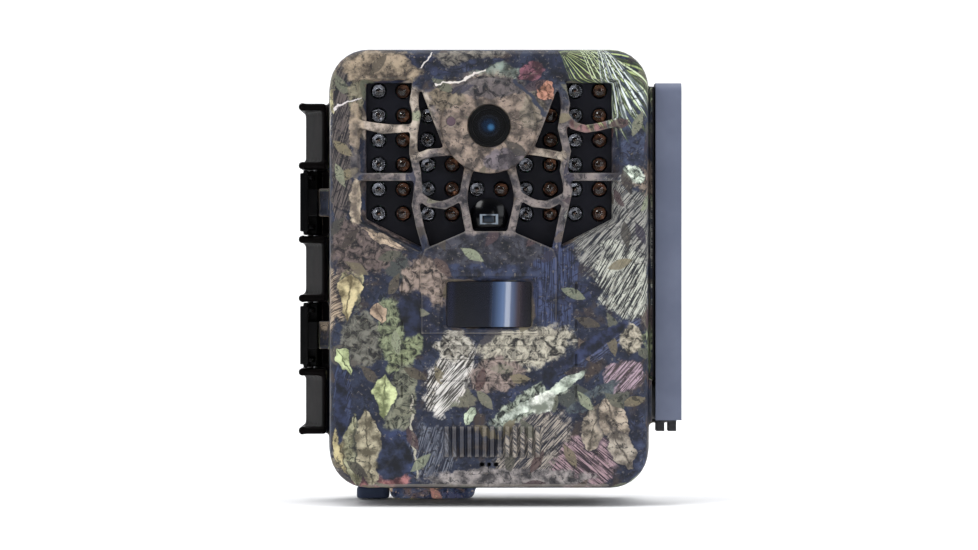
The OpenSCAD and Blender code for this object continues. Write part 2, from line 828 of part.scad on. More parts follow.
button_z = -16;
button_step = [13, 10];
button_xz = [
    [0, button_z + button_step[1]], [0, button_z - button_step[1]],
    [-button_step[0], button_z], [button_step[0], button_z], [0, button_z],
];
lcd_z = 24;
mode_xz = [24, -40];
standoff_xz = [for (sx = [-1, 1], z = [50, -22]) [sx * 34, z]];
sd_x = -22;
sd_z = [-58, -30];                 // exposed end of the memory card and back of its socket
sim_x = 24;
sim_z = [-60, -50];

module main_board() {
    color(board_green) slab(y_main, y_board_back) square([76, 126], center = true);
}

module board_chips() {
    chip_h = 1.4;
    // Centre, width and height of each chip
    chips = [[-18, -36, 14, 14], [-20, -56, 9, 10], [-24, 6, 8, 6], [-26, 22, 6, 6], [24, 4, 7, 9], [22, -18, 10, 8]];
    color(black) for (c = chips)
        slab(y_main - chip_h, y_main - fit_gap) translate([c[0], c[1]]) square([c[2], c[3]], center = true);
}

module cellular_module() {
    color(steel) slab(y_main - 3, y_main - fit_gap) translate([21, -46]) square([26, 30], center = true);
}

module antenna_cable() {
    plug_at = 31;
    color(black) {
        rod_y(plug_at, antenna_z, 1.4, antenna_y - 1.2, y_main - 3 - fit_gap);
        rod_x(antenna_y, antenna_z, 0.8, plug_at, case_w / 2 + 5);
    }
}

tact_top = y_board_back + 5.1;
module tact_switches() {
    color(steel) for (p = button_xz) {
        slab(y_board_back + fit_gap, y_board_back + 3.6)
            translate(p) square([6, 6], center = true);
        rod_y(p[0], p[1], 1.7, y_board_back + 3.5, tact_top);
    }
}

module lcd_screen() {
    color([0.1, 0.12, 0.18]) slab(y_panel_inner - 4, y_panel_inner - fit_gap)
        translate([0, lcd_z]) square([48, 37], center = true);
}

// ---------- control panel inside the door ----------

button_r = 4;
press_travel = 0.5;

module control_panel() {
    slot_half = [7.2, 1.9];
    color(black) difference() {
        union() {
            slab(y_panel_inner, y_panel) case_outline(cavity_inset + 0.3);
            for (p = standoff_xz) rod_y(p[0], p[1], 2.2, y_board_back + fit_gap, y_panel_inner + hair);
        }
        slab(y_panel_inner - over, y_panel + over) {
            translate([0, lcd_z]) square([42, 32], center = true);
            translate(mode_xz) square(2 * slot_half, center = true);
            translate([sd_x - 13, -66]) square([26, 11]);
            translate([sim_x - 7, -66]) square([14, 9]);
        }
        for (p = button_xz) rod_y(p[0], p[1], button_r + 0.1, y_panel_inner - over, y_panel + over);
        for (p = post_xz) rod_y(p[0], p[1], 1.3, y_panel_inner - over, y_panel + over);
        for (x = terminal_x) rod_y(x, terminal_z, 2.5, y_panel_inner - over, y_panel + over);
    }
}

module panel_screws() {
    color(steel) for (p = post_xz) difference() {
        union() {
            rod_y(p[0], p[1], 2.3, y_panel + 0.02, y_panel + 1.2);
            rod_y(p[0], p[1], 1.05, post_top - 6, y_panel + 0.1);
        }
        for (turn = [0, 90]) translate([p[0], y_panel + 1.2, p[1]]) rotate([0, turn, 0])
            cube([2.8, 1.4, 0.6], center = true);
    }
}

module panel_contacts() {
    color(brass) for (x = terminal_x)
        rod_y(x, terminal_z, 2.45, y_panel_inner - 1, y_panel + 0.05);
}

// Push button over a tact switch; a flange keeps it behind the panel
module push_button(p) {
    color(slate) {
        rod_y(p[0], p[1], button_r, y_panel_inner - 0.5, y_panel + 0.9);
        rod_y(p[0], p[1], button_r + 0.8, y_panel_inner - 1, y_panel_inner - fit_gap);
        rod_y(p[0], p[1], 1.7, tact_top + press_travel + fit_gap, y_panel_inner);
    }
}

module button_up() push_button(button_xz[0]);
module button_down() push_button(button_xz[1]);
module button_left() push_button(button_xz[2]);
module button_right() push_button(button_xz[3]);
module button_ok() push_button(button_xz[4]);

module slide_switch() {
    color(steel) slab(y_board_back + fit_gap, y_board_back + 4)
        translate(mode_xz) square([17, 6], center = true);
}

module mode_knob() {
    color(black) {
        slab(y_board_back + 4 + fit_gap, y_panel + 1.2)
            translate(mode_xz) square([6, 3.6], center = true);
        for (i = [-1:1]) slab(y_panel + 1, y_panel + 1.7)
            translate([mode_xz[0] + i * 1.8, mode_xz[1]]) square([0.8, 3.6], center = true);
    }
}

card_t = 2.1;
module sd_socket() {
    y0 = y_panel_inner - card_t - 1.2;
    color(steel) difference() {
        box([sd_x - 14, y_board_back + fit_gap, sd_z[0] + 4], [sd_x + 14, y_panel_inner - fit_gap, sd_z[1] + 1]);
        box([sd_x - 12.1, y0 + 0.9, sd_z[0]], [sd_x + 12.1, y_panel_inner - 0.15, sd_z[1] + 0.1]);
    }
}

module sd_card() {
    color([0.1, 0.15, 0.3]) slab(y_panel_inner - card_t - 0.2, y_panel_inner - 0.2)
        polygon([[sd_x - 12, sd_z[0]], [sd_x + 12, sd_z[0]], [sd_x + 12, sd_z[1] - 4],
                 [sd_x + 8, sd_z[1]], [sd_x - 12, sd_z[1]]]);
}

sim_t = 0.8;
module sim_socket() {
    color(steel) difference() {
        box([sim_x - 7.5, y_board_back + fit_gap, sim_z[0] + 3], [sim_x + 7.5, y_panel_inner - fit_gap, sim_z[1] + 1]);
        box([sim_x - 6.1, y_panel_inner - sim_t - 0.4, sim_z[0]], [sim_x + 6.1, y_panel_inner - 0.2, sim_z[1] + 0.1]);
    }
}

module sim_card() {
    color([0.85, 0.85, 0.85]) box([sim_x - 6, y_panel_inner - sim_t - 0.3, sim_z[0]],
                                  [sim_x + 6, y_panel_inner - 0.3, sim_z[1]]);
}

// ---------- antenna ----------

blade_x = case_w / 2 + 1.1;
blade_low = -48.3;
blade_wall = 1.5;
pivot_r = 2;

// Box of the blade, moved inwards by inset, between two heights
module blade(inset, low, high) {
    box([blade_x + inset, antenna_y - antenna_d / 2 + inset, low],
        [blade_x + antenna_t - inset, antenna_y + antenna_d / 2 - inset, high]);
}

module antenna_bracket() {
    color(black) difference() {
        union() {
            rod_x(antenna_y, antenna_z, 6, case_w / 2 + fit_gap, blade_x - fit_gap);
            rod_x(antenna_y, antenna_z, 3.4, case_w / 2 - 5, case_w / 2 + 0.5);
        }
        rod_x(antenna_y, antenna_z, pivot_r + 0.02, case_w / 2 - 6, blade_x);
    }
}

module antenna_pin() {
    color(steel) difference() {
        rod_x(antenna_y, antenna_z, pivot_r, case_w / 2 - 5.5, blade_x + 6);
        rod_x(antenna_y, antenna_z, 1, case_w / 2 - 6, blade_x + 7);
    }
}

module antenna_shell() {
    round_r = 3;
    color(slate) difference() {
        translate([blade_x, 0, 0]) rotate([90, 0, 90]) linear_extrude(antenna_t) {
            translate([antenna_y - antenna_d / 2, blade_low])
                square([antenna_d, antenna_top - round_r - blade_low]);
            translate([antenna_y - antenna_d / 2 + round_r, antenna_top - 2 * round_r])
                square([antenna_d - 2 * round_r, 2 * round_r]);
            for (s = [-1, 1]) translate([antenna_y + s * (antenna_d / 2 - round_r), antenna_top - round_r])
                circle(round_r);
        }
        blade(blade_wall, blade_low - over, antenna_top - 4);
        rod_x(antenna_y, antenna_z, pivot_r + 0.4, blade_x - over, blade_x + blade_wall + over);
    }
}

// Foot inside the blade's lower end; two legs show under it
module antenna_foot() {
    leg_w = 2.6;
    leg_h = 3.6;
    leg_x = blade_x + antenna_t / 2 - 0.6;
    foot_drop = 0.6;
    foot_top = antenna_z + 8;
    color(black) difference() {
        union() {
            blade(blade_wall + fit_gap, blade_low - foot_drop, foot_top);
            for (s = [-1, 1]) translate([leg_x + s * 1.9, antenna_y, 0])
                box([-leg_w / 2, -5, blade_low - leg_h], [leg_w / 2, 5, blade_low - fit_gap]);
        }
        rod_x(antenna_y, antenna_z, pivot_r + fit_gap, blade_x, blade_x + antenna_t);
    }
}

module antenna_radiator() {
    color(board_green) box([blade_x + antenna_t / 2 - 0.4, antenna_y - 5.5, antenna_z + 8.2],
                           [blade_x + antenna_t / 2 + 0.4, antenna_y + 5.5, antenna_top - 5]);
}

rear_housing();
tree_bracket();
bracket_screws();
rear_tripod_insert();
base_tripod_insert();
latch_pins();
hinge_pin();
door_seal();
battery_tray();
battery_cells();
battery_springs();
battery_contacts();
tray_terminals();
dc_jack();
dc_plug();
upper_latch();
lower_latch();
front_housing();
led_bezel();
led_board();
infrared_leds();
lens_barrel();
lens_cover();
lens_elements();
lens_holder();
ir_cut_frame();
ir_cut_filters();
ir_cut_coil();
image_sensor();
light_window();
light_sensor();
pir_lens();
pir_sensor();
microphone();
indicator_led();
main_board();
board_chips();
cellular_module();
antenna_cable();
tact_switches();
lcd_screen();
control_panel();
panel_screws();
panel_contacts();
button_up();
button_down();
button_left();
button_right();
button_ok();
slide_switch();
mode_knob();
sd_socket();
sd_card();
sim_socket();
sim_card();
antenna_bracket();
antenna_pin();
antenna_shell();
antenna_foot();
antenna_radiator();
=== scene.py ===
"""Looks of the trail camera: a camouflaged clamshell case with an infrared LED window, a lens,
a motion sensor window, side latches, a blade antenna and a tree bracket.

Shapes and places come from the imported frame. Lengths in this script are in millimetres and are
turned into metres by MM. X runs to the right, Y towards the tree and Z up.
"""
import json
import math

import bmesh
import bpy
from mathutils import Matrix, Vector

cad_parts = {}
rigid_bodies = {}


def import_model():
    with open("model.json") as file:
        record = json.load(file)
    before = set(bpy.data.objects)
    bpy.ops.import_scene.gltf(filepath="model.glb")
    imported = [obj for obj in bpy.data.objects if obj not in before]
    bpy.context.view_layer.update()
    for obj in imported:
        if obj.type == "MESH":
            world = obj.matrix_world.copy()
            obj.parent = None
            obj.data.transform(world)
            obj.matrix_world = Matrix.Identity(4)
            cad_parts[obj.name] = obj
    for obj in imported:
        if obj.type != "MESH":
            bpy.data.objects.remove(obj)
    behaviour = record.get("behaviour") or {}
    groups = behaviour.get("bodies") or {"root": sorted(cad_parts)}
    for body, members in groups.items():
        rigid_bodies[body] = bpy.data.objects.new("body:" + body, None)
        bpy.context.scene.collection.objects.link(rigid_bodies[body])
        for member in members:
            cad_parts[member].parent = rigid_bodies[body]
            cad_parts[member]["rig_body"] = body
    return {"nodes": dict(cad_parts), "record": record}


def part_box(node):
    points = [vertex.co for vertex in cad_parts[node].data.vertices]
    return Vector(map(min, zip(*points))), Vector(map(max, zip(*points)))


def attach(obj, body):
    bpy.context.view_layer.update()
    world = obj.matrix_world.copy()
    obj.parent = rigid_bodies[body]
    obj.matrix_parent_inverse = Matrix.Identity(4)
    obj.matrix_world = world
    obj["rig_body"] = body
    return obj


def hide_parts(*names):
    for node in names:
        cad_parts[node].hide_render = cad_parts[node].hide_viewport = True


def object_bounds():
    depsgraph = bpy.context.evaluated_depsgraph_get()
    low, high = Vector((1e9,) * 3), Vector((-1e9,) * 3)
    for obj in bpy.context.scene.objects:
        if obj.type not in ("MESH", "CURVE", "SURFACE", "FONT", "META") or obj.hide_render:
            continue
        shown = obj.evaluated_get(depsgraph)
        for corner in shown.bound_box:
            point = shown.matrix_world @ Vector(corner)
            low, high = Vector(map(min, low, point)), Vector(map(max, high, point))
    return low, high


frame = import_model()
cad_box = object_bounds()
nodes = frame["nodes"]
MM = 0.001

BEZEL_SINK = 5.2        # the LED panel lies this far behind the face of the case
FACE_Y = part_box("led_bezel")[0].y / MM - BEZEL_SINK
LENS = (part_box("lens_cover")[0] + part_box("lens_cover")[1]) / (2 * MM)
PIR = (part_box("pir_sensor")[0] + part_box("pir_sensor")[1]) / (2 * MM)
LIGHT = (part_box("light_sensor")[0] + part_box("light_sensor")[1]) / (2 * MM)


# ---------- shader building ----------

def rgb(code):
    """Linear colour from an sRGB code such as 'b4ba8c'."""
    channels = [int(code[i:i + 2], 16) / 255 for i in (0, 2, 4)]
    linear = [c / 12.92 if c <= 0.04045 else ((c + 0.055) / 1.055) ** 2.4 for c in channels]
    return (*linear, 1.0)


class Shader:
    """A material under construction. Methods take sockets or plain values and return a socket."""

    def __init__(self, name):
        self.material = bpy.data.materials.new(name)
        self.material.use_nodes = True
        self.tree = self.material.node_tree
        self.tree.nodes.clear()
        self.surface = self.tree.nodes.new("ShaderNodeBsdfPrincipled")
        out = self.tree.nodes.new("ShaderNodeOutputMaterial")
        self.tree.links.new(self.surface.outputs[0], out.inputs[0])
        self.place = self.node("ShaderNodeTexCoord").outputs["Object"]
        self.mm = self.vector("MULTIPLY", self.place, (1 / MM,) * 3)

    def node(self, kind, **settings):
        made = self.tree.nodes.new(kind)
        for key, value in settings.items():
            setattr(made, key, value)
        return made

    def feed(self, socket, value):
        if isinstance(value, bpy.types.NodeSocket):
            self.tree.links.new(value, socket)
        elif value is not None:
            socket.default_value = value

    def math(self, operation, a, b=None):
        made = self.node("ShaderNodeMath", operation=operation)
        self.feed(made.inputs[0], a)
        self.feed(made.inputs[1], b)
        return made.outputs[0]

    def vector(self, operation, a, b=None):
        made = self.node("ShaderNodeVectorMath", operation=operation)
        self.feed(made.inputs[0], a)
        self.feed(made.inputs[1], b)
        return made.outputs["Value" if operation in ("LENGTH", "DOT_PRODUCT") else "Vector"]

    def split(self, vector):
        return self.node_out("ShaderNodeSeparateXYZ", vector)

    def node_out(self, kind, value):
        made = self.node(kind)
        self.feed(made.inputs[0], value)
        return made.outputs

    def join(self, x, y, z=0.0):
        made = self.node("ShaderNodeCombineXYZ")
        for socket, value in zip(made.inputs, (x, y, z)):
            self.feed(socket, value)
        return made.outputs[0]

    def turn(self, vector, degrees, along=1.0, across=1.0):
        """Scaled coordinates of a point along and across a direction given in degrees from +X."""
        c, k = math.cos(math.radians(degrees)), math.sin(math.radians(degrees))
        return (self.vector("DOT_PRODUCT", vector, (c * along, k * along, 0)),
                self.vector("DOT_PRODUCT", vector, (-k * across, c * across, 0)))

    def noise(self, vector, scale, detail=3.0, roughness=0.55, distortion=0.0):
        made = self.node("ShaderNodeTexNoise")
        self.feed(made.inputs["Vector"], vector)
        made.inputs["Scale"].default_value = scale
        made.inputs["Detail"].default_value = detail
        made.inputs["Roughness"].default_value = roughness
        made.inputs["Distortion"].default_value = distortion
        return made.outputs["Fac"]

    def step(self, value, low, high):
        """0 below low, 1 above high, smooth between; low may be above high."""
        made = self.node("ShaderNodeMapRange", interpolation_type="SMOOTHSTEP")
        self.feed(made.inputs["Value"], value)
        made.inputs["From Min"].default_value = low
        made.inputs["From Max"].default_value = high
        return made.outputs[0]

    def mix(self, a, b, share):
        made = self.node("ShaderNodeMix", data_type="RGBA")
        self.feed(made.inputs[0], share)
        self.feed(made.inputs[6], a)
        self.feed(made.inputs[7], b)
        return made.outputs[2]

    def ramp(self, value, stops):
        """Colour that runs through (place, colour code) stops."""
        made = self.node("ShaderNodeValToRGB")
        self.feed(made.inputs[0], value)
        band = made.color_ramp
        while len(band.elements) < len(stops):
            band.elements.new(0.5)
        for element, (place, code) in zip(band.elements, stops):
            element.position = place
            element.color = rgb(code)
        return made.outputs[0]

    def bump(self, height, strength, distance=0.1 * MM):
        made = self.node("ShaderNodeBump")
        made.inputs["Strength"].default_value = strength
        made.inputs["Distance"].default_value = distance
        self.feed(made.inputs["Height"], height)
        self.feed(self.surface.inputs["Normal"], made.outputs[0])

    def set(self, **values):
        names = {"base": "Base Color", "metal": "Metallic", "rough": "Roughness", "ior": "IOR",
                 "coat": "Coat Weight", "coat_rough": "Coat Roughness", "glass": "Transmission Weight",
                 "specular": "Specular IOR Level"}
        for key, value in values.items():
            self.feed(self.surface.inputs[names[key]], value)
        return self.material


# ---------- camouflage ----------

TILE_EDGES_X = (-300, -17, 17, 300)
TILE_EDGES_Z = (-300, -38, -5, 30, 300)
TILE_MARGIN = 7         # how far a ragged edge can reach past a layer's own size
CASE_W = 104.0
FIELD_H = 150           # height of a field of patches, a little more than the case
BACK_SHIFT = 260.0      # the print on the back starts this far along, so it isn't the front's
GOLDEN = 0.618          # spreads places and angles evenly
HINGE_X = 52.2          # right of this plane the hinge is painted black, as painted shade in the gap between the case and the antenna
CAVITY_X = 49.9         # half width of the room inside the case, and its half height
CAVITY_Z = 68.9
CAVITY_CORNER = 11.4    # radius of its upright corners
MIC_HOLES = [(-2.24, -62), (0, -62), (2.24, -62)]     # X and Z of the microphone holes
MIC_HOLE_R = 0.8
RIB_SINK = 1.1          # the branching ribs' centre lines lie this far behind the face
LIP_DEPTH = 5.5         # the print ends this far behind the face, inside the openings
REAR_Y = -13            # back of the rear case
BOSS_FRONT_Y = -32      # front of the boss under the case
BOSS_TOP_Z = -71.4      # the boss under the case lies below this height
REAR_WALL_Y = -15.2     # inner face of the back wall
GUARD_X = -52.6         # left of this plane the rear case's latch guards are near-black, as painted shade on these sideways faces

FRONT_GRAIN = (22, 34, 48, 60, 72, 90, 140)     # angles of the streaks, in degrees from +X
REAR_GRAIN = (20, 40)
PRINT_TONE = (1.1, 1.1, 1.2)
PRINT_CONTRAST = 1.18
BOSS_BRIGHTENING = (8.0, 7.4, 7.0)     # painted light: the boss under the case is brightened this much, against the shadow the case casts on it
NAVY = rgb("1b2131")
SLATE = rgb("343c4d")
BROWN = rgb("463d38")


def unrolled(s, face_y):
    """Pattern coordinates: X and Z on a face, carried round its edges onto the sides."""
    normal = s.node("ShaderNodeTexCoord").outputs["Normal"]
    nx, ny, nz = s.split(normal)
    x, y, z = s.split(s.mm)
    depth = s.math("SUBTRACT", y, face_y)
    away = s.math("MULTIPLY", s.math("GREATER_THAN", ny, 0.5), BACK_SHIFT)
    u = s.math("ADD", x, s.math("MULTIPLY", depth, nx))
    v = s.math("ADD", z, s.math("MULTIPLY", depth, nz))
    return s.join(s.math("ADD", u, away), v)


class Camo:
    """Paints a printed leaf and bark pattern, one layer over another.

    Layers above the base use only plain vector and number nodes, and settle() makes their
    coordinates and textures wait for the base. The renderer then works through them one after
    another, so the pattern fits in the memory it has for one shader.
    """

    def __init__(self, s, shift, angles, tile, face_y):
        self.s = s
        self.tile = tile
        self.flat = s.vector("ADD", unrolled(s, face_y), (*shift, 0))
        self.edge = s.math("SUBTRACT", s.noise(self.flat, 0.3, 7, 0.66), 0.5)
        self.blotch = s.step(s.noise(self.flat, 0.22, 5, 0.6), 0.36, 0.66)
        self.speck = s.step(s.noise(self.flat, 0.42, 6, 0.64, 0.8), 0.36, 0.64)
        self.crack = s.step(s.noise(self.flat, 0.42, 6, 0.7, 1.0), 0.46, 0.4)
        self.fleck = s.step(s.noise(s.vector("ADD", self.flat, (50, 0, 0)), 0.75, 5, 0.7), 0.57, 0.66)
        self.grain = {angle: self.streaks(angle) for angle in angles}
        base = s.mix(NAVY, SLATE, self.blotch)
        brown = s.step(s.noise(self.flat, 0.12, 4, 0.6, 0.5), 0.5, 0.66)
        self.colour = s.mix(base, BROWN, brown)
        self.loose = self.chips(0.11, 4.5, 1.7, ["8d8467", "3a3230", "9aa083", "5f4a44", "2a3146"], 0.5)

    def streaks(self, degrees, across=1.9, along=0.12):
        """Fine streaks that run at an angle from +X."""
        u, v = self.s.turn(self.flat, degrees, along, across)
        return self.s.step(self.s.noise(self.s.join(u, v), 1.0, 3, 0.6, 0.3), 0.42, 0.58)

    def scatter(self, *layer):
        self.colour = self.s.mix(self.colour, *self.chips(*layer))

    def chips(self, scale, length, width, colours, amount):
        """Tint and mask of small leaves at random places, turned and coloured at random."""
        s = self.s
        cells = s.node("ShaderNodeTexVoronoi", voronoi_dimensions="2D")
        s.feed(cells.inputs["Vector"], self.flat)
        cells.inputs["Scale"].default_value = scale
        chance = s.node_out("ShaderNodeSeparateColor", cells.outputs["Color"])
        x, z, _ = s.split(s.vector("SUBTRACT", self.flat, cells.outputs["Position"]))
        angle = s.math("MULTIPLY", chance[0], 6.283)
        c, k = s.math("COSINE", angle), s.math("SINE", angle)
        u = s.math("ADD", s.math("MULTIPLY", x, c), s.math("MULTIPLY", z, k))
        v = s.math("SUBTRACT", s.math("MULTIPLY", z, c), s.math("MULTIPLY", x, k))
        long_part = s.math("POWER", s.math("DIVIDE", s.math("ABSOLUTE", u), length), 1.6)
        edge = s.math("ADD", s.math("DIVIDE", s.math("ABSOLUTE", v), width), long_part)
        edge = s.math("ADD", edge, s.math("MULTIPLY", self.edge, 0.7))
        mask = s.math("MULTIPLY", s.step(edge, 1.05, 0.85), s.step(chance[1], amount + 0.01, amount))
        stops = [(i / (len(colours) - 1), code) for i, code in enumerate(colours)]
        tint = s.mix(s.ramp(chance[2], stops), rgb("20242f"), s.math("MULTIPLY", self.speck, 0.35))
        return tint, mask

    def settle(self):
        """Coordinates for the layers above: slightly wavy, and known only once the base is."""
        s = self.s
        waver = s.node("ShaderNodeTexNoise")
        s.feed(waver.inputs["Vector"], self.flat)
        waver.inputs["Scale"].default_value = 0.35
        offset = s.vector("SUBTRACT", waver.outputs["Color"], (0.5, 0.5, 0.5))
        known = self.edge
        for texture in (self.blotch, self.speck, self.crack, self.fleck, self.loose[1]):
            known = s.math("ADD", known, texture)
        for texture in self.grain.values():
            known = s.math("ADD", known, texture)
        known = s.math("ADD", known, self.colour)
        hair = s.vector("MULTIPLY", s.join(known, known), (0.01, 0.01, 0))
        self.straight = s.vector("ADD", self.flat, hair)
        self.p = s.vector("ADD", self.straight, s.vector("MULTIPLY", offset, (3.0, 3.0, 0)))
        late = s.vector("DOT_PRODUCT", self.p, (1e-6, 0, 0))
        for name in ("edge", "blotch", "speck", "crack", "fleck"):
            setattr(self, name, s.math("ADD", getattr(self, name), late))
        self.grain = {angle: s.math("ADD", texture, late) for angle, texture in self.grain.items()}

    def misses(self, x, z, reach):
        """True if a layer of this reach round (x, z) can't touch the tile being painted."""
        if self.tile is None:
            return False
        (x0, x1), (z0, z1) = self.tile
        off = math.hypot(max(x0 - x, 0, x - x1), max(z0 - z, 0, z - z1))
        return off > reach + TILE_MARGIN

    def local(self, x, z, degrees, along=1.0, across=1.0):
        return self.s.turn(self.s.vector("SUBTRACT", self.p, (x, z, 0)), degrees, along, across)

    def cover(self, mask, dark, light, texture, depth=0.42):
        low = (*[channel * depth for channel in rgb(dark)[:3]], 1)
        self.colour = self.s.mix(self.colour, self.s.mix(low, rgb(light), texture), mask)

    def weather(self, cracks=0.7, flecks=0.3):
        """Loose chips, dark cracks and pale flecks over everything painted so far."""
        s = self.s
        self.colour = s.mix(self.colour, self.loose[0], s.math("MULTIPLY", self.loose[1], 0.85))
        self.colour = s.mix(self.colour, rgb("0f121b"), s.math("MULTIPLY", self.crack, cracks))
        self.colour = s.mix(self.colour, rgb("a69a84"), s.math("MULTIPLY", self.fleck, flecks))

    def distance(self, u, v):
        s = self.s
        return s.math("SQRT", s.math("ADD", s.math("MULTIPLY", u, u), s.math("MULTIPLY", v, v)))

    def patch(self, x, z, rx, rz, degrees, dark, light, texture, ragged=1.2, sheer=1.0):
        """Soft-edged elliptical patch."""
        s = self.s
        if self.misses(x, z, max(rx, rz)):
            return
        near = self.distance(*self.local(x, z, degrees, 1 / rx, 1 / rz))
        mask = s.step(s.math("ADD", near, s.math("MULTIPLY", self.edge, ragged)), 1.08, 0.86)
        self.cover(s.math("MULTIPLY", mask, sheer), dark, light, texture)

    def leaf(self, x, z, degrees, tip, stem, width, dark, light, texture, bend=1.0):
        """Leaf whose tip points along degrees from +X; bend 1 gives straight sides, 2 round ones."""
        s = self.s
        if self.misses(x, z, max(tip, stem)):
            return
        u, v = self.local(x, z, degrees)
        reach = s.math("MAXIMUM", s.math("DIVIDE", u, tip), s.math("DIVIDE", u, -stem))
        reach = s.math("POWER", reach, bend)
        across = s.math("DIVIDE", s.math("ABSOLUTE", v), width)
        edge = s.math("ADD", s.math("ADD", across, reach), s.math("MULTIPLY", self.edge, 0.25))
        shade = s.math("MULTIPLY", s.step(edge, 1.35, 1.0), 0.55)
        self.colour = s.mix(self.colour, rgb("1b2030"), shade)
        vein = s.step(across, 0.0, 0.12)
        self.cover(s.step(edge, 1.04, 0.94), dark, light, s.math("MULTIPLY", texture, vein))

    def twig(self, points, width, colour):
        """Thin line through points, one straight piece after another."""
        s = self.s
        for (x0, z0), (x1, z1) in zip(points, points[1:]):
            half = math.hypot(x1 - x0, z1 - z0) / 2
            if self.misses((x0 + x1) / 2, (z0 + z1) / 2, half):
                continue
            degrees = math.degrees(math.atan2(z1 - z0, x1 - x0))
            u, v = self.local((x0 + x1) / 2, (z0 + z1) / 2, degrees)
            inside = s.step(s.math("ABSOLUTE", u), half + 0.3, half)
            line = s.step(s.math("ABSOLUTE", v), width, width * 0.4)
            self.colour = s.mix(self.colour, rgb(colour), s.math("MULTIPLY", inside, line))

    def fan(self, x, z, degrees, spread, reach, dark, light, count=26.0):
        """Needles that leave one point and open over an angle."""
        s = self.s
        if self.misses(x, z, reach):
            return
        u, v = s.turn(s.vector("SUBTRACT", self.straight, (x, z, 0)), degrees)
        angle = s.math("ARCTAN2", v, u)
        far = self.distance(u, v)
        wave = s.math("SINE", s.math("MULTIPLY", angle, count))
        other = s.math("SINE", s.math("MULTIPLY", angle, count * (1 + GOLDEN)))
        needle = s.math("ADD", wave, s.math("ADD", other, s.math("MULTIPLY", self.edge, 1.4)))
        open_to = s.step(s.math("ABSOLUTE", angle), math.radians(spread), math.radians(spread * 0.8))
        near = s.step(s.math("ADD", far, s.math("MULTIPLY", other, reach * 0.08)), reach, reach * 0.9)
        mask = s.math("MULTIPLY", s.math("MULTIPLY", open_to, near), s.step(needle, -0.5, 0.1))
        self.cover(mask, dark, light, s.step(needle, 0.1, 1.4))


def camouflage(name, shift=(0, 0), tile=None, tone_and_brightening=PRINT_TONE, face_y=FACE_Y):
    """Matt film of leaves, bark, twigs and needles; a front tile has its own large features."""
    s = Shader(name)
    c = Camo(s, shift, FRONT_GRAIN if tile else REAR_GRAIN, tile, face_y)
    c.scatter(0.055, 8.0, 4.2, ["3b4150", "5d554b", "6f6659", "4a4f4a", "7d7a66"], 0.8)
    if tile:
        c.settle()
        paint_front(c)
    else:
        c.scatter(0.075, 7.0, 3.0, ["8f8468", "6a6f58", "9aa27c", "5a4c44", "7f7466"], 0.55)
        c.scatter(0.12, 4.0, 1.6, ["a39a80", "4a3f3a", "b2b893", "6a5550"], 0.4)
        c.settle()
        for middle, across, count in ((BACK_SHIFT, CASE_W, 16), (0, CASE_W, 14)):
            paint_field(c, middle + shift[0], shift[1], across, count)
        c.weather()
    # This tone tints the print; for the boss it also brightens the print, as painted light against the
    # case's shadow.
    tone = s.node("ShaderNodeMix", data_type="RGBA", blend_type="MULTIPLY")
    tone.inputs[0].default_value = 1.0
    tone.inputs[6].default_value = (*tone_and_brightening, 1)
    s.feed(tone.inputs[7], c.colour)
    contrast = s.node("ShaderNodeGamma")
    s.feed(contrast.inputs[0], tone.outputs[2])
    contrast.inputs[1].default_value = PRINT_CONTRAST
    shaded = contrast.outputs[0]
    # Painted light from the mesh's bends: convex edges get a pale painted highlight and creases a dark
    # painted shade.
    bend = s.node("ShaderNodeNewGeometry").outputs["Pointiness"]
    edge_highlight = s.math("MULTIPLY", s.step(bend, 0.515, 0.57), 0.45)
    shaded = s.mix(shaded, rgb("8b857c"), edge_highlight)
    crease_shade = s.math("MULTIPLY", s.step(bend, 0.49, 0.44), 0.85)
    shaded = s.mix(shaded, rgb("07080c"), crease_shade)
    s.bump(s.noise(s.mm, 3.5, 2, 0.5), 0.16, 0.12 * MM)
    return s.set(base=shaded, rough=0.5, specular=0.35)


def paint_field(c, x, z, across, count):
    """Spreads bark, strands and leaves evenly over a field as tall as the case."""
    low_grain, rising_grain = list(c.grain.values())[:2]
    looks = (("4a423f", "8f8170", c.speck),
             ("4d4a44", "c2bdae", rising_grain),
             ("5c624c", "8d9474", c.speck),
             ("6d5f55", "a5967f", low_grain),
             ("2b3045", "4a5268", low_grain))
    for i in range(count):
        u = x + across * ((i * GOLDEN + 0.13) % 1 - 0.5)
        v = z + FIELD_H * ((i + 0.5) / count - 0.5)
        dark, light, texture = looks[i % len(looks)]
        c.patch(u, v, 11 + 3 * (i % 3), 5 + 2 * (i % 4), 25 + 67 * i, dark, light, texture, 1.7)
        if i % 3 == 0:
            c.leaf(u + 12, v + 6, 40 + 80 * i, 9, 6, 4.2, "8a8464", "bdb78e", c.blotch, 1.3)


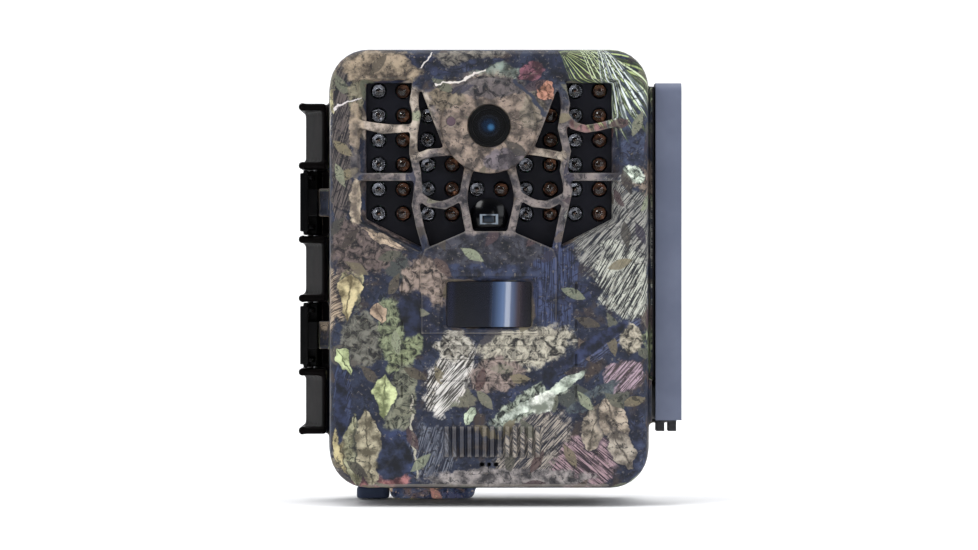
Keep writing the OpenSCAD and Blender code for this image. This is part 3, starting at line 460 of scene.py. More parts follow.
def paint_front(c):
    """Places the front's patches, leaves, strands and twigs, from the back layer forwards."""
    c.patch(0, 33, 38, 27, 0, "4f4e55", "8b827a", c.blotch, 0.3)
    c.patch(-24, 46, 7, 12, 0, "85796b", "b9ae9c", c.blotch, 0.5)
    c.patch(-34, 45, 8, 4, 0, "85796b", "bdb19f", c.blotch, 0.4)
    c.patch(32, 45, 7, 4, 0, "6b4e4c", "8f6f6a", c.blotch, 0.4)
    c.patch(18, 36, 7, 3, 0, "857a6a", "b0a592", c.blotch, 0.4)
    soft, fine = c.blotch, c.speck
    rise, steep = c.grain[48], c.grain[72]
    for side in (-1, 1):
        paint_field(c, side * 70, 0, 30, 8)
        for x in (8, 24, 40):
            c.patch(side * x, 80 + x % 16, 7, 4, 50 * x, "4d4a44", "a39a86", fine, 1.7)
            c.patch(side * x, -90 + x % 16, 7, 4, 40 * x, "4a423f", "8f8170", fine, 1.7)
    # Bark and cream strip at the upper left
    c.patch(-35, 64, 15, 6.5, 0, "5f5449", "a2947c", soft, 0.9)
    c.patch(-47, 38, 3.6, 28, 0, "33333a", "645c56", steep, 1.0)
    c.patch(-41.5, 55, 3.6, 5, 0, "66604f", "8b866f", fine, 0.8)
    c.patch(-8, 67, 13, 3.5, 8, "3b3b40", "7b766a", fine, 1.3)
    c.patch(3, 62, 9, 4, -10, "5a6158", "8f9a8c", soft, 1.2)
    c.leaf(-19, 65, 160, 9, 8, 2.6, "23283a", "394055", soft, 1.6)
    c.leaf(-5, 64.5, 10, 11, 8, 1.8, "2a3040", "41485c", soft, 1.6)
    # Collar and fan round the lens
    c.patch(0, 45, 17.5, 17.5, 0, "6a6058", "9c8d7c", soft, 0.3)
    c.patch(-13, 55, 6, 5, 30, "5b5348", "877c68", fine, 0.9)
    c.patch(0, 57.5, 13, 3.6, 0, "38363a", "6b6460", fine, 1.0)
    c.patch(14, 51, 4, 7, -20, "5f594f", "948a78", soft, 0.8)
    c.patch(5, 35, 7, 3, 10, "5a5356", "7c7474", soft, 0.8)
    c.leaf(13.6, 62.4, 20, 5.5, 5, 3.0, "5b3f46", "8a6068", soft, 1.8)
    c.leaf(17.6, 56.6, -50, 4.5, 4, 3.0, "9a6c52", "b98d76", fine, 1.6)
    # Dark leaf and pine needles at the upper right
    c.patch(23, 64, 7, 5, -30, "1d2232", "2f3648", soft, 0.8)
    c.patch(46, 46, 4.5, 16, 0, "2f3648", "4a5266", soft, 0.9)
    c.fan(22, 70, -28, 46, 31, "4c5a3c", "a6b37c", 52.0)
    c.fan(27, 75, -50, 22, 38, "6d7a55", "c3cda8", 70.0)
    c.fan(34, 74, -66, 20, 30, "7d8a86", "d5dbd2", 58.0)
    # Grass and pale lichen down the right side
    c.patch(46, 30, 4, 2.6, -30, "a9b7a0", "dde5d0", fine, 0.9)
    c.patch(40, 12, 15, 17, 35, "343846", "98978c", rise, 1.2)
    c.patch(43, -4, 9, 13, 20, "3a3d46", "b9baa9", c.grain[60], 1.4)
    c.patch(21, -4, 8, 16, 0, "333b54", "454e68", c.grain[90], 0.6)
    c.leaf(28, -8, 12, 9, 9, 3.4, "2b3247", "3a425a", soft, 1.3)
    # Brow
    c.patch(0, 6, 19, 5.5, 0, "2b2e3a", "4c4c52", soft, 0.5)
    c.patch(0, -1, 18, 3, 0, "262b3b", "3d455a", soft, 0.5)
    # Bark to the left of the motion sensor and navy below it
    c.patch(-38, 8, 14, 10, 25, "3a3536", "6f635c", fine, 1.3)
    c.leaf(-34, 12, -27, 15, 15, 1.7, "15171f", "262c3a", soft, 1.8)
    c.leaf(-33.5, 9.5, -27, 9, 8, 1.7, "84786a", "c0ae94", soft, 1.4)
    c.patch(-20, -5, 8.5, 7.5, -40, "5a4e46", "96887a", fine, 1.0)
    c.patch(-22.5, -17, 6.5, 11, 10, "252b3f", "333a50", soft, 0.7)
    c.patch(-40, -22, 7, 9, 20, "4e4d45", "77766a", fine, 1.3)
    c.patch(-31, -20, 4.2, 12, 8, "5c624c", "8d9474", fine, 0.9)
    c.patch(-26.5, -27, 3.4, 8, -42, "5a6049", "8f9673", fine, 0.8)
    c.patch(-28, -42, 5, 12, -10, "55584c", "868772", fine, 1.2)
    c.patch(-46.5, -42, 3, 14, 0, "2a3044", "404961", steep, 0.7)
    # Strips of pale bark
    c.patch(-12, -34, 6.5, 13, -28, "4e4a44", "c9c5b8", c.grain[60], 0.9)
    c.patch(-11, -24.5, 6, 5, 0, "6b6558", "bdb9a8", fine, 1.0)
    # Fields below the motion sensor
    c.patch(12, -25, 16, 6.5, 12, "6e6a60", "b9b49f", fine, 1.0)
    c.patch(2, -34, 9, 6, 10, "5d5450", "9a8c80", fine, 0.9)
    c.patch(4, -42, 9, 3.4, 12, "272d3f", "3b4358", soft, 0.7)
    c.patch(15, -41, 17, 3.8, 32, "5f6a5c", "a9b09c", fine, 0.9)
    c.leaf(24, -33, 28, 9, 8, 4.6, "2c3349", "3c455c", soft, 1.5)
    c.patch(38, -23, 12, 3.0, 34, "3b4055", "545b72", c.grain[34], 0.5)
    c.patch(45, -22, 3.5, 5, 10, "8a8371", "b9b29c", fine, 0.9)
    c.patch(43, -34, 7, 5, 20, "6d5f60", "a9969a", rise, 1.2)
    c.patch(33, -41, 9, 2.6, 30, "40485a", "6a7470", soft, 0.8)
    # Lower left: leaves over navy, red at the foot
    c.patch(-30, -60, 8, 10, -30, "283047", "3a4560", soft, 0.6)
    c.patch(-18, -58, 7, 9, 10, "3a4054", "6e7278", steep, 1.2)
    c.patch(-34, -67.5, 10, 3.4, 5, "6d4448", "b0807a", soft, 0.9)
    c.leaf(-46.5, -58, 105, 8, 8, 3.2, "8a7d55", "c2b78c", soft, 1.6)
    c.leaf(-42.4, -57, 92, 11, 13, 3.6, "7d7a5c", "aaa98a", soft, 2.2)
    c.leaf(-38, -57, 95, 13, 13, 4.2, "8a826a", "b3ac90", soft, 2.2)
    c.twig([(-24.3, -40), (-24.5, -50), (-23.5, -58), (-22.5, -66)], 0.5, "a9a592")
    # Lower right: leaf cluster, wood grain and fine red strands
    c.patch(14, -58, 15, 10, 50, "474a58", "a09889", c.grain[48], 0.8)
    c.patch(30, -62, 12, 9, 40, "54474e", "a08a8a", c.grain[140], 1.0)
    c.patch(47, -58, 4, 14, 0, "2b3145", "454d63", soft, 0.8)
    c.leaf(33.5, -50, 75, 8, 8, 4.2, "7a7264", "ada38f", soft, 2.0)
    c.leaf(39.5, -48, 110, 8, 9, 4.6, "857a6b", "b5a994", soft, 2.0)
    c.leaf(42, -57, -60, 7, 7, 4.0, "7f766a", "aea694", soft, 2.0)
    c.patch(6, -67, 27, 4, 0, "5e5b5c", "a09a92", soft, 1.2)
    c.weather()
    c.patch(-25, -14.5, 3.6, 7, 8, "151a28", "2b3348", soft, 0.7)
    c.patch(-30, -60.5, 5.5, 7, -25, "191f2e", "363f54", soft, 0.6)
    c.patch(-47, -44, 2.0, 12, 0, "171c2a", "333c54", soft, 0.6)
    c.patch(19.5, -35, 2.6, 4.2, 10, "141926", "2b3347", soft, 0.7)
    c.patch(34, -23.5, 12, 2.4, 34, "191f2e", "38405a", soft, 0.6)
    c.patch(-12.5, -38, 3.6, 10, -26, "55514a", "d9d6ca", c.grain[48], 1.3, 0.8)
    c.patch(12, -43.5, 11, 1.5, 30, "8f9a88", "dbe2cf", soft, 1.0)
    c.patch(24, -36.5, 8, 1.6, 33, "8f9a88", "d3dbc6", soft, 1.0)
    c.patch(17, -42.5, 4.6, 3.2, 20, "b2b9a4", "eceedd", soft, 1.0)
    c.patch(-42, 45, 2.6, 8.5, 0, "8c8070", "b8a88e", soft, 0.9, 0.75)
    c.patch(-42, 33, 2.2, 5, 0, "4c4a4c", "7e766b", soft, 0.9, 0.6)
    c.patch(-41.8, 21, 2.4, 7.5, 0, "a09280", "d0c2a6", soft, 0.8, 0.9)
    # Bright leaves on top
    c.leaf(-44, -5, -96, 12, 3.6, 4.4, "8f8260", "c9bd93", soft, 1.0)
    c.leaf(-35, -13.5, -70, 4, 3, 2.6, "8a7866", "b5a288", soft, 1.5)
    c.leaf(-46.8, -27.5, -62, 7, 2.8, 2.8, "8b9468", "c3cc9c", soft, 1.0)
    c.leaf(-33, -38.5, -92, 9.5, 5.2, 4.6, "9aa272", "ccd3a0", soft, 1.0)
    c.leaf(-6, -46.5, 70, 3.5, 3, 1.8, "8f9a80", "c3cdb2", soft, 1.4)
    c.twig([(-50, 50.4), (-45, 53), (-39, 53.8)], 0.42, "c9c4bc")
    c.twig([(-17, 58.4), (-9, 59.6), (-1, 63.2)], 0.36, "cfc9bd")
    c.twig([(-21.5, 63.5), (-18, 68.5)], 0.36, "c2bdb2")
    c.twig([(8, 60), (14, 54), (19, 47.5)], 0.9, "3a3f4b")


# ---------- other materials ----------

def plastic(name, colour, rough, grain=0.1, scale=3.0, coat=0.0, tint=None, specular=0.35):
    """Moulded plastic or rubber with a fine grain and slight changes of tone."""
    s = Shader(name)
    tone = s.noise(s.mm, 0.06, 3)
    base = s.mix(rgb(colour), rgb(tint or colour), s.step(tone, 0.35, 0.7))
    s.bump(s.noise(s.mm, scale, 2), grain)
    varied = s.math("ADD", s.math("MULTIPLY", s.noise(s.mm, 0.3, 3), 0.12), rough - 0.06)
    return s.set(base=base, rough=varied, coat=coat, coat_rough=0.08, specular=specular)


def metal(name, colour, rough, brushed=(0.2, 0.2, 6.0)):
    """Metal with fine streaks; brushed is how fast they change along X, Y and Z."""
    s = Shader(name)
    streak = s.noise(s.vector("MULTIPLY", s.mm, brushed), 1.0, 3)
    base = s.mix(rgb(colour), rgb("3c3a38"), s.math("MULTIPLY", s.step(streak, 0.5, 0.8), 0.35))
    s.bump(streak, 0.12, 0.05 * MM)
    return s.set(base=base, metal=1.0, rough=s.math("ADD", s.math("MULTIPLY", streak, 0.2), rough - 0.1))


def clear(name, colour, rough=0.04, ior=1.5):
    """Clear glass or resin with a slight haze."""
    s = Shader(name)
    haze = s.noise(s.mm, 0.8, 2)
    return s.set(base=s.mix(rgb(colour), rgb("ffffff"), s.math("MULTIPLY", haze, 0.1)),
                 rough=rough, ior=ior, glass=1.0)


def circuit_board():
    """Green solder mask over lighter tracks, with tinned pads."""
    s = Shader("circuit_board")
    x, _, z = s.split(s.mm)
    columns = s.math("SINE", s.math("MULTIPLY", x, 4.2))
    rows = s.math("SINE", s.math("MULTIPLY", z, 3.1))
    lanes = s.math("ADD", columns, rows)
    tracks = s.step(s.math("ADD", lanes, s.noise(s.mm, 0.25, 2)), 1.1, 1.25)
    pads = s.node("ShaderNodeTexVoronoi")
    s.feed(pads.inputs["Vector"], s.mm)
    pads.inputs["Scale"].default_value = 0.45
    tin = s.step(pads.outputs["Distance"], 0.2, 0.16)
    base = s.mix(s.mix(rgb("0e3b24"), rgb("1c5a38"), tracks), rgb("c9c6bd"), tin)
    return s.set(base=base, rough=0.32, metal=s.math("MULTIPLY", tin, 0.8))


def motion_window():
    """Smoked convex window; a reflection of a tall pale strip to the right of its middle is painted into
    its colour.
    """
    s = Shader("motion_window")
    width, lean = 27.0, -0.0012
    x, _, z = s.split(s.mm)
    along = s.math("DIVIDE", s.math("SUBTRACT", x, PIR.x - width / 2), width)
    along = s.math("ADD", along, s.math("MULTIPLY", s.math("SUBTRACT", z, PIR.z), lean))
    # painted reflection: dark over most of the window, a pale blue strip right of the middle, a brownish
    # edge beyond it
    strip = s.ramp(along, [(0.0, "030410"), (0.05, "10142a"), (0.12, "02030c"), (0.5, "040818"),
                           (0.56, "26344e"), (0.66, "4f6488"), (0.78, "43506c"),
                           (0.84, "3a3138"), (0.9, "14101c"), (1.0, "02030a")])
    return s.set(base=strip, rough=0.12, coat=1.0, coat_rough=0.03)


def light_window():
    """Polished black window; the sensor's frame behind it is painted into its colour as a bright glint,
    with a faint bluish painted sheen inside the frame.
    """
    s = Shader("light_window")
    half_w, half_h, drop = 2.9, 1.6, 0.6
    x, _, z = s.split(s.mm)
    dx = s.math("ABSOLUTE", s.math("SUBTRACT", x, LIGHT.x))
    dz = s.math("ABSOLUTE", s.math("SUBTRACT", z, LIGHT.z - drop))
    box = s.math("MAXIMUM", s.math("DIVIDE", dx, half_w), s.math("DIVIDE", dz, half_h))
    ring = s.math("MULTIPLY", s.step(box, 0.68, 0.8), s.step(box, 1.05, 0.94))
    ends = s.step(dx, 0.4, 1.6)
    frame_glint = s.math("MULTIPLY", ring, s.math("ADD", s.math("MULTIPLY", ends, 0.75), 0.25))
    inside = s.math("MULTIPLY", s.step(box, 0.6, 0.5), 0.25)
    # painted highlight: the frame's glint, brightest at its ends, and a bluish sheen within it
    base = s.mix(rgb("020204"), rgb("7f8994"), frame_glint)
    base = s.mix(base, rgb("34465a"), inside)
    return s.set(base=base, rough=0.15, specular=0.2)


def lens_glass():
    """Coated front element: deep blue in the middle, black towards the rim, with a painted highlight below
    and right of the middle.
    """
    s = Shader("lens_glass")
    radius = 5.3
    off = s.vector("SUBTRACT", s.mm, tuple(LENS))
    x, _, z = s.split(off)
    far = s.vector("LENGTH", s.join(x, z))
    lens_glint = s.vector("LENGTH", s.join(s.math("SUBTRACT", x, 0.6), s.math("ADD", z, 0.5)))
    base = s.ramp(s.math("DIVIDE", far, radius), [(0.0, "0c2036"), (0.3, "0a1a2e"), (0.5, "05080f"),
                                                  (0.62, "12151c"), (0.68, "030305"), (1.0, "010102")])
    # painted highlight: a pale blue glint below and right of the middle
    base = s.mix(base, rgb("3a6a94"), s.math("MULTIPLY", s.step(lens_glint, 1.5, 0.2), 0.7))
    return s.set(base=base, rough=0.08, coat=1.0, coat_rough=0.02)


def cell_jacket():
    """Two-tone printed jacket with bare steel ends; neighbouring cells point opposite ways."""
    s = Shader("cell_jacket")
    pitch, row_start, row_h = 14.9, 2.0, 54.0
    x, _, z = s.split(s.mm)
    column = s.math("FLOOR", s.math("DIVIDE", s.math("ADD", x, 3 * pitch), pitch))
    outward = s.math("MODULO", s.math("ADD", column, 1.0), 2.0)
    height = s.math("DIVIDE", s.math("SUBTRACT", s.math("ABSOLUTE", z), row_start), row_h)
    from_nub = s.math("ABSOLUTE", s.math("SUBTRACT", outward, height))
    base = s.ramp(from_nub, [(0.0, "b9773a"), (0.33, "b9773a"), (0.335, "17171a"), (1.0, "17171a")])
    ends = s.math("ABSOLUTE", s.split(s.node("ShaderNodeTexCoord").outputs["Normal"])[2])
    bare = s.step(ends, 0.8, 0.95)
    return s.set(base=s.mix(base, rgb("b8b8ba"), bare), metal=bare, rough=0.3, coat=0.3)


def screen_glass():
    """Dark screen with faint rows."""
    s = Shader("screen_glass")
    _, _, z = s.split(s.mm)
    lines = s.math("MULTIPLY", s.step(s.math("SINE", s.math("MULTIPLY", z, 30.0)), 0.0, 0.8), 0.2)
    return s.set(base=s.mix(rgb("0a0d14"), rgb("18202c"), lines), rough=0.15, coat=1.0, coat_rough=0.04)


FRONT_TILES = [(across, up) for up in zip(TILE_EDGES_Z, TILE_EDGES_Z[1:])
               for across in zip(TILE_EDGES_X, TILE_EDGES_X[1:])]
FRONT_CAMO = [camouflage(f"front_camouflage_{i}", tile=tile) for i, tile in enumerate(FRONT_TILES)]
REAR_CAMO = camouflage("rear_camouflage", shift=(140, 35), face_y=REAR_Y)
BRIGHTENED_BOSS_CAMO = camouflage("brightened_boss_camouflage", shift=(20, 360), tone_and_brightening=BOSS_BRIGHTENING, face_y=BOSS_FRONT_Y)
BRACKET_CAMO = camouflage("bracket_camouflage", shift=(-90, 120), face_y=0)
# black for the inside; at the hinge and the microphone holes it is also painted shade
HINGE_BLACK = plastic("hinge_black", "0c0c10", 0.5)
KEY_RUBBER = plastic("key_rubber", "34353a", 0.6, 0.1, 4.0, tint="3d3e44")
# near-black and barely shiny: painted shade for the latch guards, and the black of the case's inside
GUARD_BLACK = plastic("guard_black", "050404", 0.4, 0.05, 2.0, tint="0d090a", specular=0.03)
PLUG_NAVY = plastic("plug_navy", "2a3348", 0.5, 0.15, 4.0, tint="37425a", specular=0.3)
MATERIALS = {
    "black_plastic": plastic("black_plastic", "131318", 0.45, tint="1b1b20"),
    "latch_plastic": plastic("latch_plastic", "020203", 0.22, 0.03, specular=0.1),
    "antenna_plastic": plastic("antenna_plastic", "545a6d", 0.55, 0.14, 4.0, tint="5d6376"),
    "rubber": plastic("rubber", "101014", 0.7, 0.2, 5.0),
    "steel": metal("steel", "b4b6ba", 0.32),
    "brass": metal("brass", "c2a05a", 0.3, (6.0, 0.2, 0.2)),
    "copper": metal("copper", "b06a3c", 0.35, (8.0, 0.1, 0.1)),
    "circuit_board": circuit_board(),
    "chip_plastic": plastic("chip_plastic", "1a1a1d", 0.5),
    "bezel_plastic": plastic("bezel_plastic", "09090f", 0.55, 0.12, 3.0, tint="101119", specular=0.12),
    "optical_glass": clear("optical_glass", "a9c4e8"),
    "indicator_epoxy": plastic("indicator_epoxy", "5a4a52", 0.25, 0.0, coat=0.8),
    "screen": screen_glass(),
    "cell_wrap": cell_jacket(),
    "card_plastic": plastic("card_plastic", "1d2740", 0.4),
}


# ---------- shapes ----------

def link(name, mesh):
    made = bpy.data.objects.new(name, mesh)
    bpy.context.scene.collection.objects.link(made)
    return made


def paint(piece, material):
    piece.data.materials.clear()
    piece.data.materials.append(material)


def apply_modifiers(piece):
    """Makes the modifiers' result the piece's own mesh."""
    graph = bpy.context.evaluated_depsgraph_get()
    result = bpy.data.meshes.new_from_object(piece.evaluated_get(graph))
    piece.modifiers.clear()
    piece.data = result


def remoulded(node, name, material, voxel, extras=(), smooth=5):
    """Replaces a CAD node by one skin with softly rounded edges, as a moulding has."""
    body = nodes[node]["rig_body"]
    mesh = nodes[node].data.copy()
    mesh.materials.clear()
    if extras:
        merged = bmesh.new()
        merged.from_mesh(mesh)
        for extra in extras:
            merged.from_mesh(extra)
        merged.to_mesh(mesh)
        merged.free()
    piece = link(name, mesh)
    remesh = piece.modifiers.new("skin", "REMESH")
    remesh.mode = "VOXEL"
    remesh.voxel_size = voxel * MM
    remesh.use_smooth_shade = True
    even = piece.modifiers.new("even", "SMOOTH")
    even.iterations = smooth
    even.factor = 0.5
    apply_modifiers(piece)
    paint(piece, material)
    for polygon in piece.data.polygons:
        polygon.use_smooth = True
    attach(piece, body)
    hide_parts(node)
    return piece


def tube_mesh(points, radii, depth):
    """Round branch through (x, z) points at one depth, with its own radius at each point."""
    curve = bpy.data.curves.new("branch", "CURVE")
    curve.dimensions = "3D"
    curve.bevel_depth = 1.0
    curve.bevel_resolution = 3
    curve.use_fill_caps = True
    spline = curve.splines.new("NURBS")
    spline.points.add(len(points) - 1)
    spline.use_endpoint_u = True
    spline.order_u = 3
    spline.resolution_u = 6
    for point, (x, z), radius in zip(spline.points, points, radii):
        point.co = (x * MM, depth * MM, z * MM, 1)
        point.radius = radius * MM
    holder = link("branch", curve)
    graph = bpy.context.evaluated_depsgraph_get()
    mesh = bpy.data.meshes.new_from_object(holder.evaluated_get(graph))
    bpy.data.objects.remove(holder)
    return mesh


def lathe(profile, steps=28):
    """Mesh of a closed (radius, height) profile turned about +Z."""
    shape = bmesh.new()
    corners = [shape.verts.new((r, 0, h)) for r, h in profile]
    edges = [shape.edges.new(pair) for pair in zip(corners, corners[1:])]
    bmesh.ops.spin(shape, geom=corners + edges, cent=(0, 0, 0), axis=(0, 0, 1),
                   angle=math.tau, steps=steps, use_merge=True, use_duplicate=False)
    bmesh.ops.remove_doubles(shape, verts=shape.verts, dist=0.001)
    bmesh.ops.recalc_face_normals(shape, faces=shape.faces)
    mesh = bpy.data.meshes.new("turned")
    shape.to_mesh(mesh)
    shape.free()
    for polygon in mesh.polygons:
        polygon.use_smooth = True
    return mesh


def gather(name, parts, body, material):
    """One piece from (mesh, matrix) parts whose coordinates are in millimetres."""
    whole = bmesh.new()
    for mesh, matrix in parts:
        copy = mesh.copy()
        copy.transform(matrix)
        whole.from_mesh(copy)
        bpy.data.meshes.remove(copy)
    mesh = bpy.data.meshes.new(name)
    whole.to_mesh(mesh)
    whole.free()
    mesh.transform(Matrix.Scale(MM, 4))
    piece = link(name, mesh)
    paint(piece, material)
    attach(piece, body)
    return piece


def islands(node):
    """Boxes, in millimetres, of the separate solids in a CAD node."""
    shape = bmesh.new()
    shape.from_mesh(nodes[node].data)
    bmesh.ops.remove_doubles(shape, verts=shape.verts, dist=0.001 * MM)
    left, found = set(shape.verts), []
    while left:
        stack, group = [left.pop()], []
        while stack:
            vertex = stack.pop()
            group.append(vertex.co / MM)
            for edge in vertex.link_edges:
                other = edge.other_vert(vertex)
                if other in left:
                    left.remove(other)
                    stack.append(other)
        low = Vector([min(p[k] for p in group) for k in range(3)])
        high = Vector([max(p[k] for p in group) for k in range(3)])
        found.append((low, high))
    shape.free()
    return sorted(found, key=lambda b: (round(b[0].z, 1), round(b[0].x, 1)))


# Centre lines of the branching ribs, as (x, z) points, with their radii
BRANCHES = [
    ([(-22.8, 60), (-24, 52.7), (-22.8, 48.8), (-23.8, 43), (-24.1, 36.7), (-22.8, 30.9), (-22.4, 25.5),
      (-23.3, 20.2), (-21.9, 13.4), (-19.5, 5)], [1.5, 1.3, 1.4, 1.2, 1.4, 1.2, 1.5, 1.2, 1.2, 1.4]),
    ([(22.8, 60), (24.5, 52.2), (23, 44.5), (24.8, 37.2), (23.6, 31.3), (25.3, 25), (23.8, 18.2), (21, 5)],
     [1.5, 1.3, 1.4, 1.2, 1.3, 1.5, 1.2, 1.4]),
    ([(-43, 46.3), (-33.5, 44), (-23.8, 44.7)], [1.5, 1.2, 1.3]),
    ([(24.2, 48.4), (26.7, 45.4), (30.6, 44.3), (34.5, 44.9), (43, 47)], [1.2, 1.1, 1.1, 1.2, 1.5]),
    ([(-43, 29.1), (-33, 28.9), (-23, 29.1)], [1.4, 1.2, 1.3]),
    ([(24.5, 29.1), (34, 29.3), (43, 29.1)], [1.3, 1.2, 1.4]),
    ([(-24, 34.8), (-19, 36.7), (-12, 37.3)], [1.2, 1.1, 1.5]),
    ([(12, 37.6), (19, 36.5), (24.6, 35.3)], [1.5, 1.1, 1.2]),
    ([(-22.6, 23.4), (-19, 20.7), (-14.1, 20), (-8.2, 23)], [1.4, 1.1, 1.1, 1.4]),
    ([(9.2, 23.4), (14.1, 20.7), (19, 20.2), (24.8, 23.2)], [1.4, 1.1, 1.1, 1.4]),
    ([(-6.3, 32), (-7.5, 27), (-8.3, 22.6), (-7.3, 17.3), (-5.9, 10)], [1.6, 1.2, 1.5, 1.1, 1.4]),
    ([(7, 32), (8.5, 27), (9.4, 22.6), (8.3, 17.3), (6.6, 10)], [1.6, 1.2, 1.5, 1.1, 1.4]),
]


def inside_case(x, y, z, front):
    """True for a point within the case's round-cornered walls and behind a depth."""
    past_x = max(abs(x) - CAVITY_X + CAVITY_CORNER, 0)
    past_z = max(abs(z) - CAVITY_Z + CAVITY_CORNER, 0)
    return math.hypot(past_x, past_z) < CAVITY_CORNER and y > front


def front_housing():
    """Front half with its branching ribs. The print is painted tile by tile.

    The hinge is painted black as painted shade in its gap by the antenna, the microphone holes' walls
    black as painted shade inside the holes, and the inside is black.
    """
    branches = [tube_mesh(points, radii, FACE_Y + RIB_SINK) for points, radii in BRANCHES]
    piece = remoulded("front_housing", "front_cover", FRONT_CAMO[0], 0.4, branches, 2)
    for material in FRONT_CAMO[1:]:
        piece.data.materials.append(material)
    piece.data.materials.append(HINGE_BLACK)
    for face in piece.data.polygons:
        x, y, z = face.center / MM
        column = sum(x > edge for edge in TILE_EDGES_X[1:-1])
        row = sum(z > edge for edge in TILE_EDGES_Z[1:-1])
        face.material_index = row * (len(TILE_EDGES_X) - 1) + column
        # painted shade: the microphone holes' walls are painted black
        in_hole = any(math.hypot(x - a, z - b) < MIC_HOLE_R for a, b in MIC_HOLES)
        # right of the hinge plane the faces are painted black as painted shade in the gap by the antenna
        if x > HINGE_X or in_hole or inside_case(x, y, z, FACE_Y + LIP_DEPTH):
            face.material_index = len(FRONT_CAMO)


def rear_housing():
    """Rear half. The latch guards on its left are near-black as painted shade, and its inside is black;
    the boss's print is brightened as painted light.
    """
    guard, boss = 1, 2
    piece = remoulded("rear_housing", "rear_cover", REAR_CAMO, 0.6)
    piece.data.materials.append(GUARD_BLACK)
    piece.data.materials.append(BRIGHTENED_BOSS_CAMO)
    for face in piece.data.polygons:
        x, y, z = face.center / MM
        # the boss takes the brightened print: painted light against the case's shadow
        if z < BOSS_TOP_Z:
            face.material_index = boss
        # the latch guards take the near-black painted shade; the inside takes the same black
        if x < GUARD_X or (y < REAR_WALL_Y and inside_case(x, y, z, FACE_Y)):
            face.material_index = guard


def led_lamps():
    """Clear 5 mm lamps with silver or copper cups behind their domes."""
    domes, silver, copper = [], [], []
    radius, length = 2.5, 7.0
    quarter = [math.pi / 2 * i / 8 for i in range(1, 9)]
    outline = [(radius * math.sin(a), radius - radius * math.cos(a)) for a in quarter]
    dome = lathe([(0, 0)] + outline + [(radius, length), (0, length)])
    cup = lathe([(0.25, 2.9), (0.55, 2.9), (1.5, 1.9), (1.7, 1.9), (1.7, 3.3), (0.25, 3.3), (0.25, 2.9)])
    die = lathe([(0, 2.55), (0.3, 2.6), (0.3, 3.0), (0, 3.0)], 8)
    for index, (low, high) in enumerate(islands("infrared_leds")):
        x, z = (low.x + high.x) / 2, (low.z + high.z) / 2
        place = Matrix.Translation((x, low.y, z)) @ Matrix.Rotation(-math.pi / 2, 4, "X")
        domes.append((dome, place))
        tone = copper if index % 2 else silver
        tone.append((cup, place))
        copper.append((die, place))
    lamps = gather("led_domes", domes, "front_case", clear("led_epoxy", "f2efe9", 0.03, 1.45))
    gather("led_cups_silver", silver, "front_case", metal("silver_cup", "747883", 0.25))
    gather("led_cups_copper", copper, "front_case", metal("copper_cup", "4a3226", 0.3))
    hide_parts("infrared_leds")


WELD_GAP = 0.002        # corners of neighbouring CAD faces this close are one point
BEVEL_ANGLE = 40        # edges sharper than this are bevelled, in degrees
ROUND_ANGLE = 32        # edges sharper than this are shaded as corners
FLAT_ANGLE = 18         # the same, for pieces made of flat faces


def cad_looks():
    """Gives every CAD node that still shows its material, clean shading and perhaps a bevel."""
    slots = {part["node"]: part["material_slot"] for part in frame["record"]["subparts"]}
    special = {"pir_lens": motion_window(), "light_window": light_window(), "lens_cover": lens_glass(),
               "lens_barrel": plastic("lens_black", "020203", 0.35, 0.02, specular=0.15),
               "microphone": MATERIALS["rubber"]}
    bevels = {"antenna_shell": 0.5, "antenna_foot": 0.3, "control_panel": 0.3, "battery_tray": 0.4,
              "upper_latch": 0.3, "lower_latch": 0.3, "lens_barrel": 0.12, "mode_knob": 0.15,
              "sd_card": 0.2, "lens_holder": 0.3, "button_ok": 0.35, "button_up": 0.35,
              "button_down": 0.35, "button_left": 0.35, "button_right": 0.35, "hinge_pin": 0.2}
    flat_faced = ("control_panel", "battery_tray", "upper_latch", "lower_latch")
    for name, piece in nodes.items():
        if piece.hide_render:
            continue
        if name.startswith("button_"):
            special[name] = KEY_RUBBER
        paint(piece, special.get(name) or MATERIALS.get(slots[name]) or MATERIALS["black_plastic"])
        weld = piece.modifiers.new("weld", "WELD")
        weld.merge_threshold = WELD_GAP * MM
        if name in bevels:
            bevel = piece.modifiers.new("edge", "BEVEL")
            bevel.width = bevels[name] * MM
            bevel.segments = 2
            bevel.limit_method = "ANGLE"
            bevel.angle_limit = math.radians(BEVEL_ANGLE)
        split = piece.modifiers.new("corners", "EDGE_SPLIT")
        split.split_angle = math.radians(FLAT_ANGLE if name in flat_faced else ROUND_ANGLE)
        even = piece.modifiers.new("flat faces", "WEIGHTED_NORMAL")
        even.keep_sharp = True


# ---------- stage ----------

FRAME_W, FRAME_H = 978, 550     # shape of the picture
VIEW_DISTANCE = 1.25            # metres from the camera to the front of the object
OBJECT_SHARE = 0.84             # of the picture's height
SENSOR_W = 36
FLOOR_GAP = 0.0005


def lamp(name, place, target, size, power, colour=(1, 1, 1)):
    """Rectangular area lamp, placed in metres, that faces a target."""
    data = bpy.data.lights.new(name, "AREA")
    data.shape = "RECTANGLE"
    data.size, data.size_y = size
    data.energy = power
    data.color = colour
    made = bpy.data.objects.new(name, data)
    bpy.context.scene.collection.objects.link(made)
    made.location = place
    made.rotation_euler = (Vector(target) - Vector(place)).to_track_quat("-Z", "Y").to_euler()
    return made


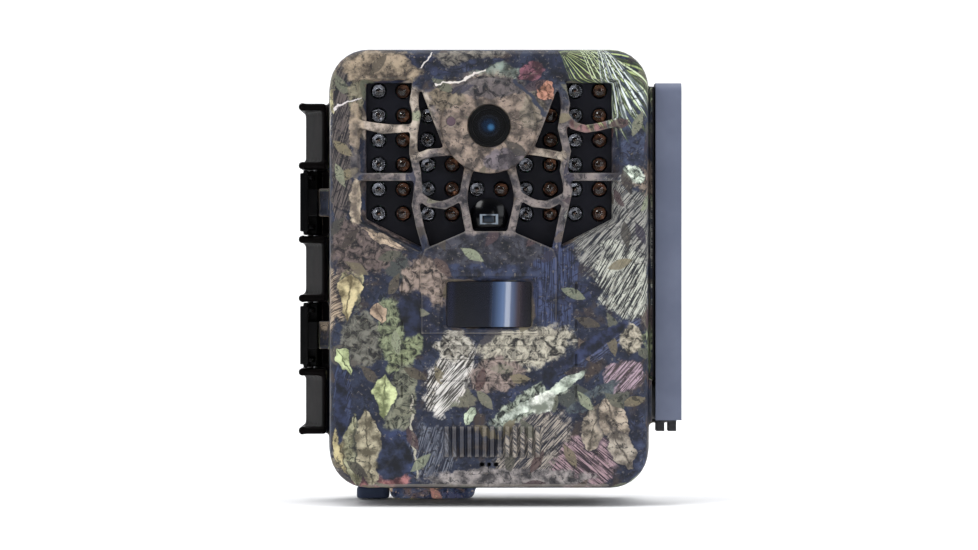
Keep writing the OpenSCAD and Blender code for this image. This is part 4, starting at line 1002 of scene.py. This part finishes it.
def studio_world():
    """White room whose side behind the camera is dark, so that faces turned forwards stay deep."""
    world = bpy.data.worlds.new("studio")
    bpy.context.scene.world = world
    world.use_nodes = True
    tree = world.node_tree
    look = tree.nodes.new("ShaderNodeTexCoord")
    parts = tree.nodes.new("ShaderNodeSeparateXYZ")
    shade = tree.nodes.new("ShaderNodeMapRange")
    shade.interpolation_type = "SMOOTHSTEP"
    shade.inputs["From Min"].default_value = -0.85
    shade.inputs["From Max"].default_value = -0.1
    shade.inputs["To Min"].default_value = 0.12
    shade.inputs["To Max"].default_value = 0.95
    tree.links.new(look.outputs["Generated"], parts.inputs[0])
    tree.links.new(parts.outputs["Y"], shade.inputs["Value"])
    background = tree.nodes["Background"]
    background.inputs[0].default_value = (0.95, 0.97, 1.0, 1)
    tree.links.new(shade.outputs[0], background.inputs[1])


def stage():
    """Pale floor that curves up into a backdrop, soft lights and a straight-on camera."""
    low, high = cad_box
    floor = low[2] - FLOOR_GAP
    bend_r = 0.6
    sweep = bmesh.new()
    outline = [(-3.0, 0.0), (0.5, 0.0)]
    outline += [(0.5 + bend_r * math.sin(a), bend_r - bend_r * math.cos(a))
                for a in [math.pi / 16 * i for i in range(1, 9)]]
    outline.append((1.1, 3.0))
    rows = [[sweep.verts.new((x, y, floor + z)) for y, z in outline] for x in (-3.0, 3.0)]
    for i in range(len(outline) - 1):
        sweep.faces.new((rows[0][i], rows[1][i], rows[1][i + 1], rows[0][i + 1]))
    mesh = bpy.data.meshes.new("backdrop")
    sweep.to_mesh(mesh)
    sweep.free()
    backdrop = link("backdrop", mesh)
    s = Shader("backdrop")
    tone = s.noise(s.place, 3.0, 2)
    paint(backdrop, s.set(base=s.mix(rgb("f4f4f4"), rgb("f1f1f2"), tone), rough=0.9, specular=0.1))
    for polygon in backdrop.data.polygons:
        polygon.use_smooth = True

    studio_world()
    lamp("key", (-0.75, -1.0, 1.0), (0, 0, 0), (0.5, 0.5), 8.2)
    lamp("fill", (0.9, -1.2, 0.5), (0, 0, 0), (0.5, 0.8), 3.9, (0.93, 0.96, 1.0))
    low_lamp = lamp("low", (-0.1, -0.9, -0.045), (-0.02, 0, -0.073), (0.7, 0.04), 1.4)
    low_lamp.visible_glossy = False
    lamp("strip", (0.26, -1.3, 0.02), (0, 0, -0.02), (0.07, 0.8), 0.8)
    lamp("wash", (0, -0.1, 1.9), (0, 0.9, 0.3), (2.5, 1.0), 34)

    data = bpy.data.cameras.new("camera")
    camera = bpy.data.objects.new("camera", data)
    bpy.context.scene.collection.objects.link(camera)
    middle = (low[2] + high[2]) / 2
    camera.location = (0, low[1] - VIEW_DISTANCE, middle)
    camera.rotation_euler = (math.pi / 2, 0, 0)
    data.sensor_width = SENSOR_W
    view_height = (high[2] - low[2]) / OBJECT_SHARE
    data.lens = SENSOR_W * VIEW_DISTANCE / (view_height * FRAME_W / FRAME_H)
    bpy.context.scene.camera = camera
    bpy.context.scene.view_settings.view_transform = "Standard"


front_housing()
rear_housing()
remoulded("tree_bracket", "bark_bracket", BRACKET_CAMO, 0.5)
remoulded("dc_plug", "jack_cover", PLUG_NAVY, 0.35, smooth=20)
led_lamps()
cad_looks()
stage()
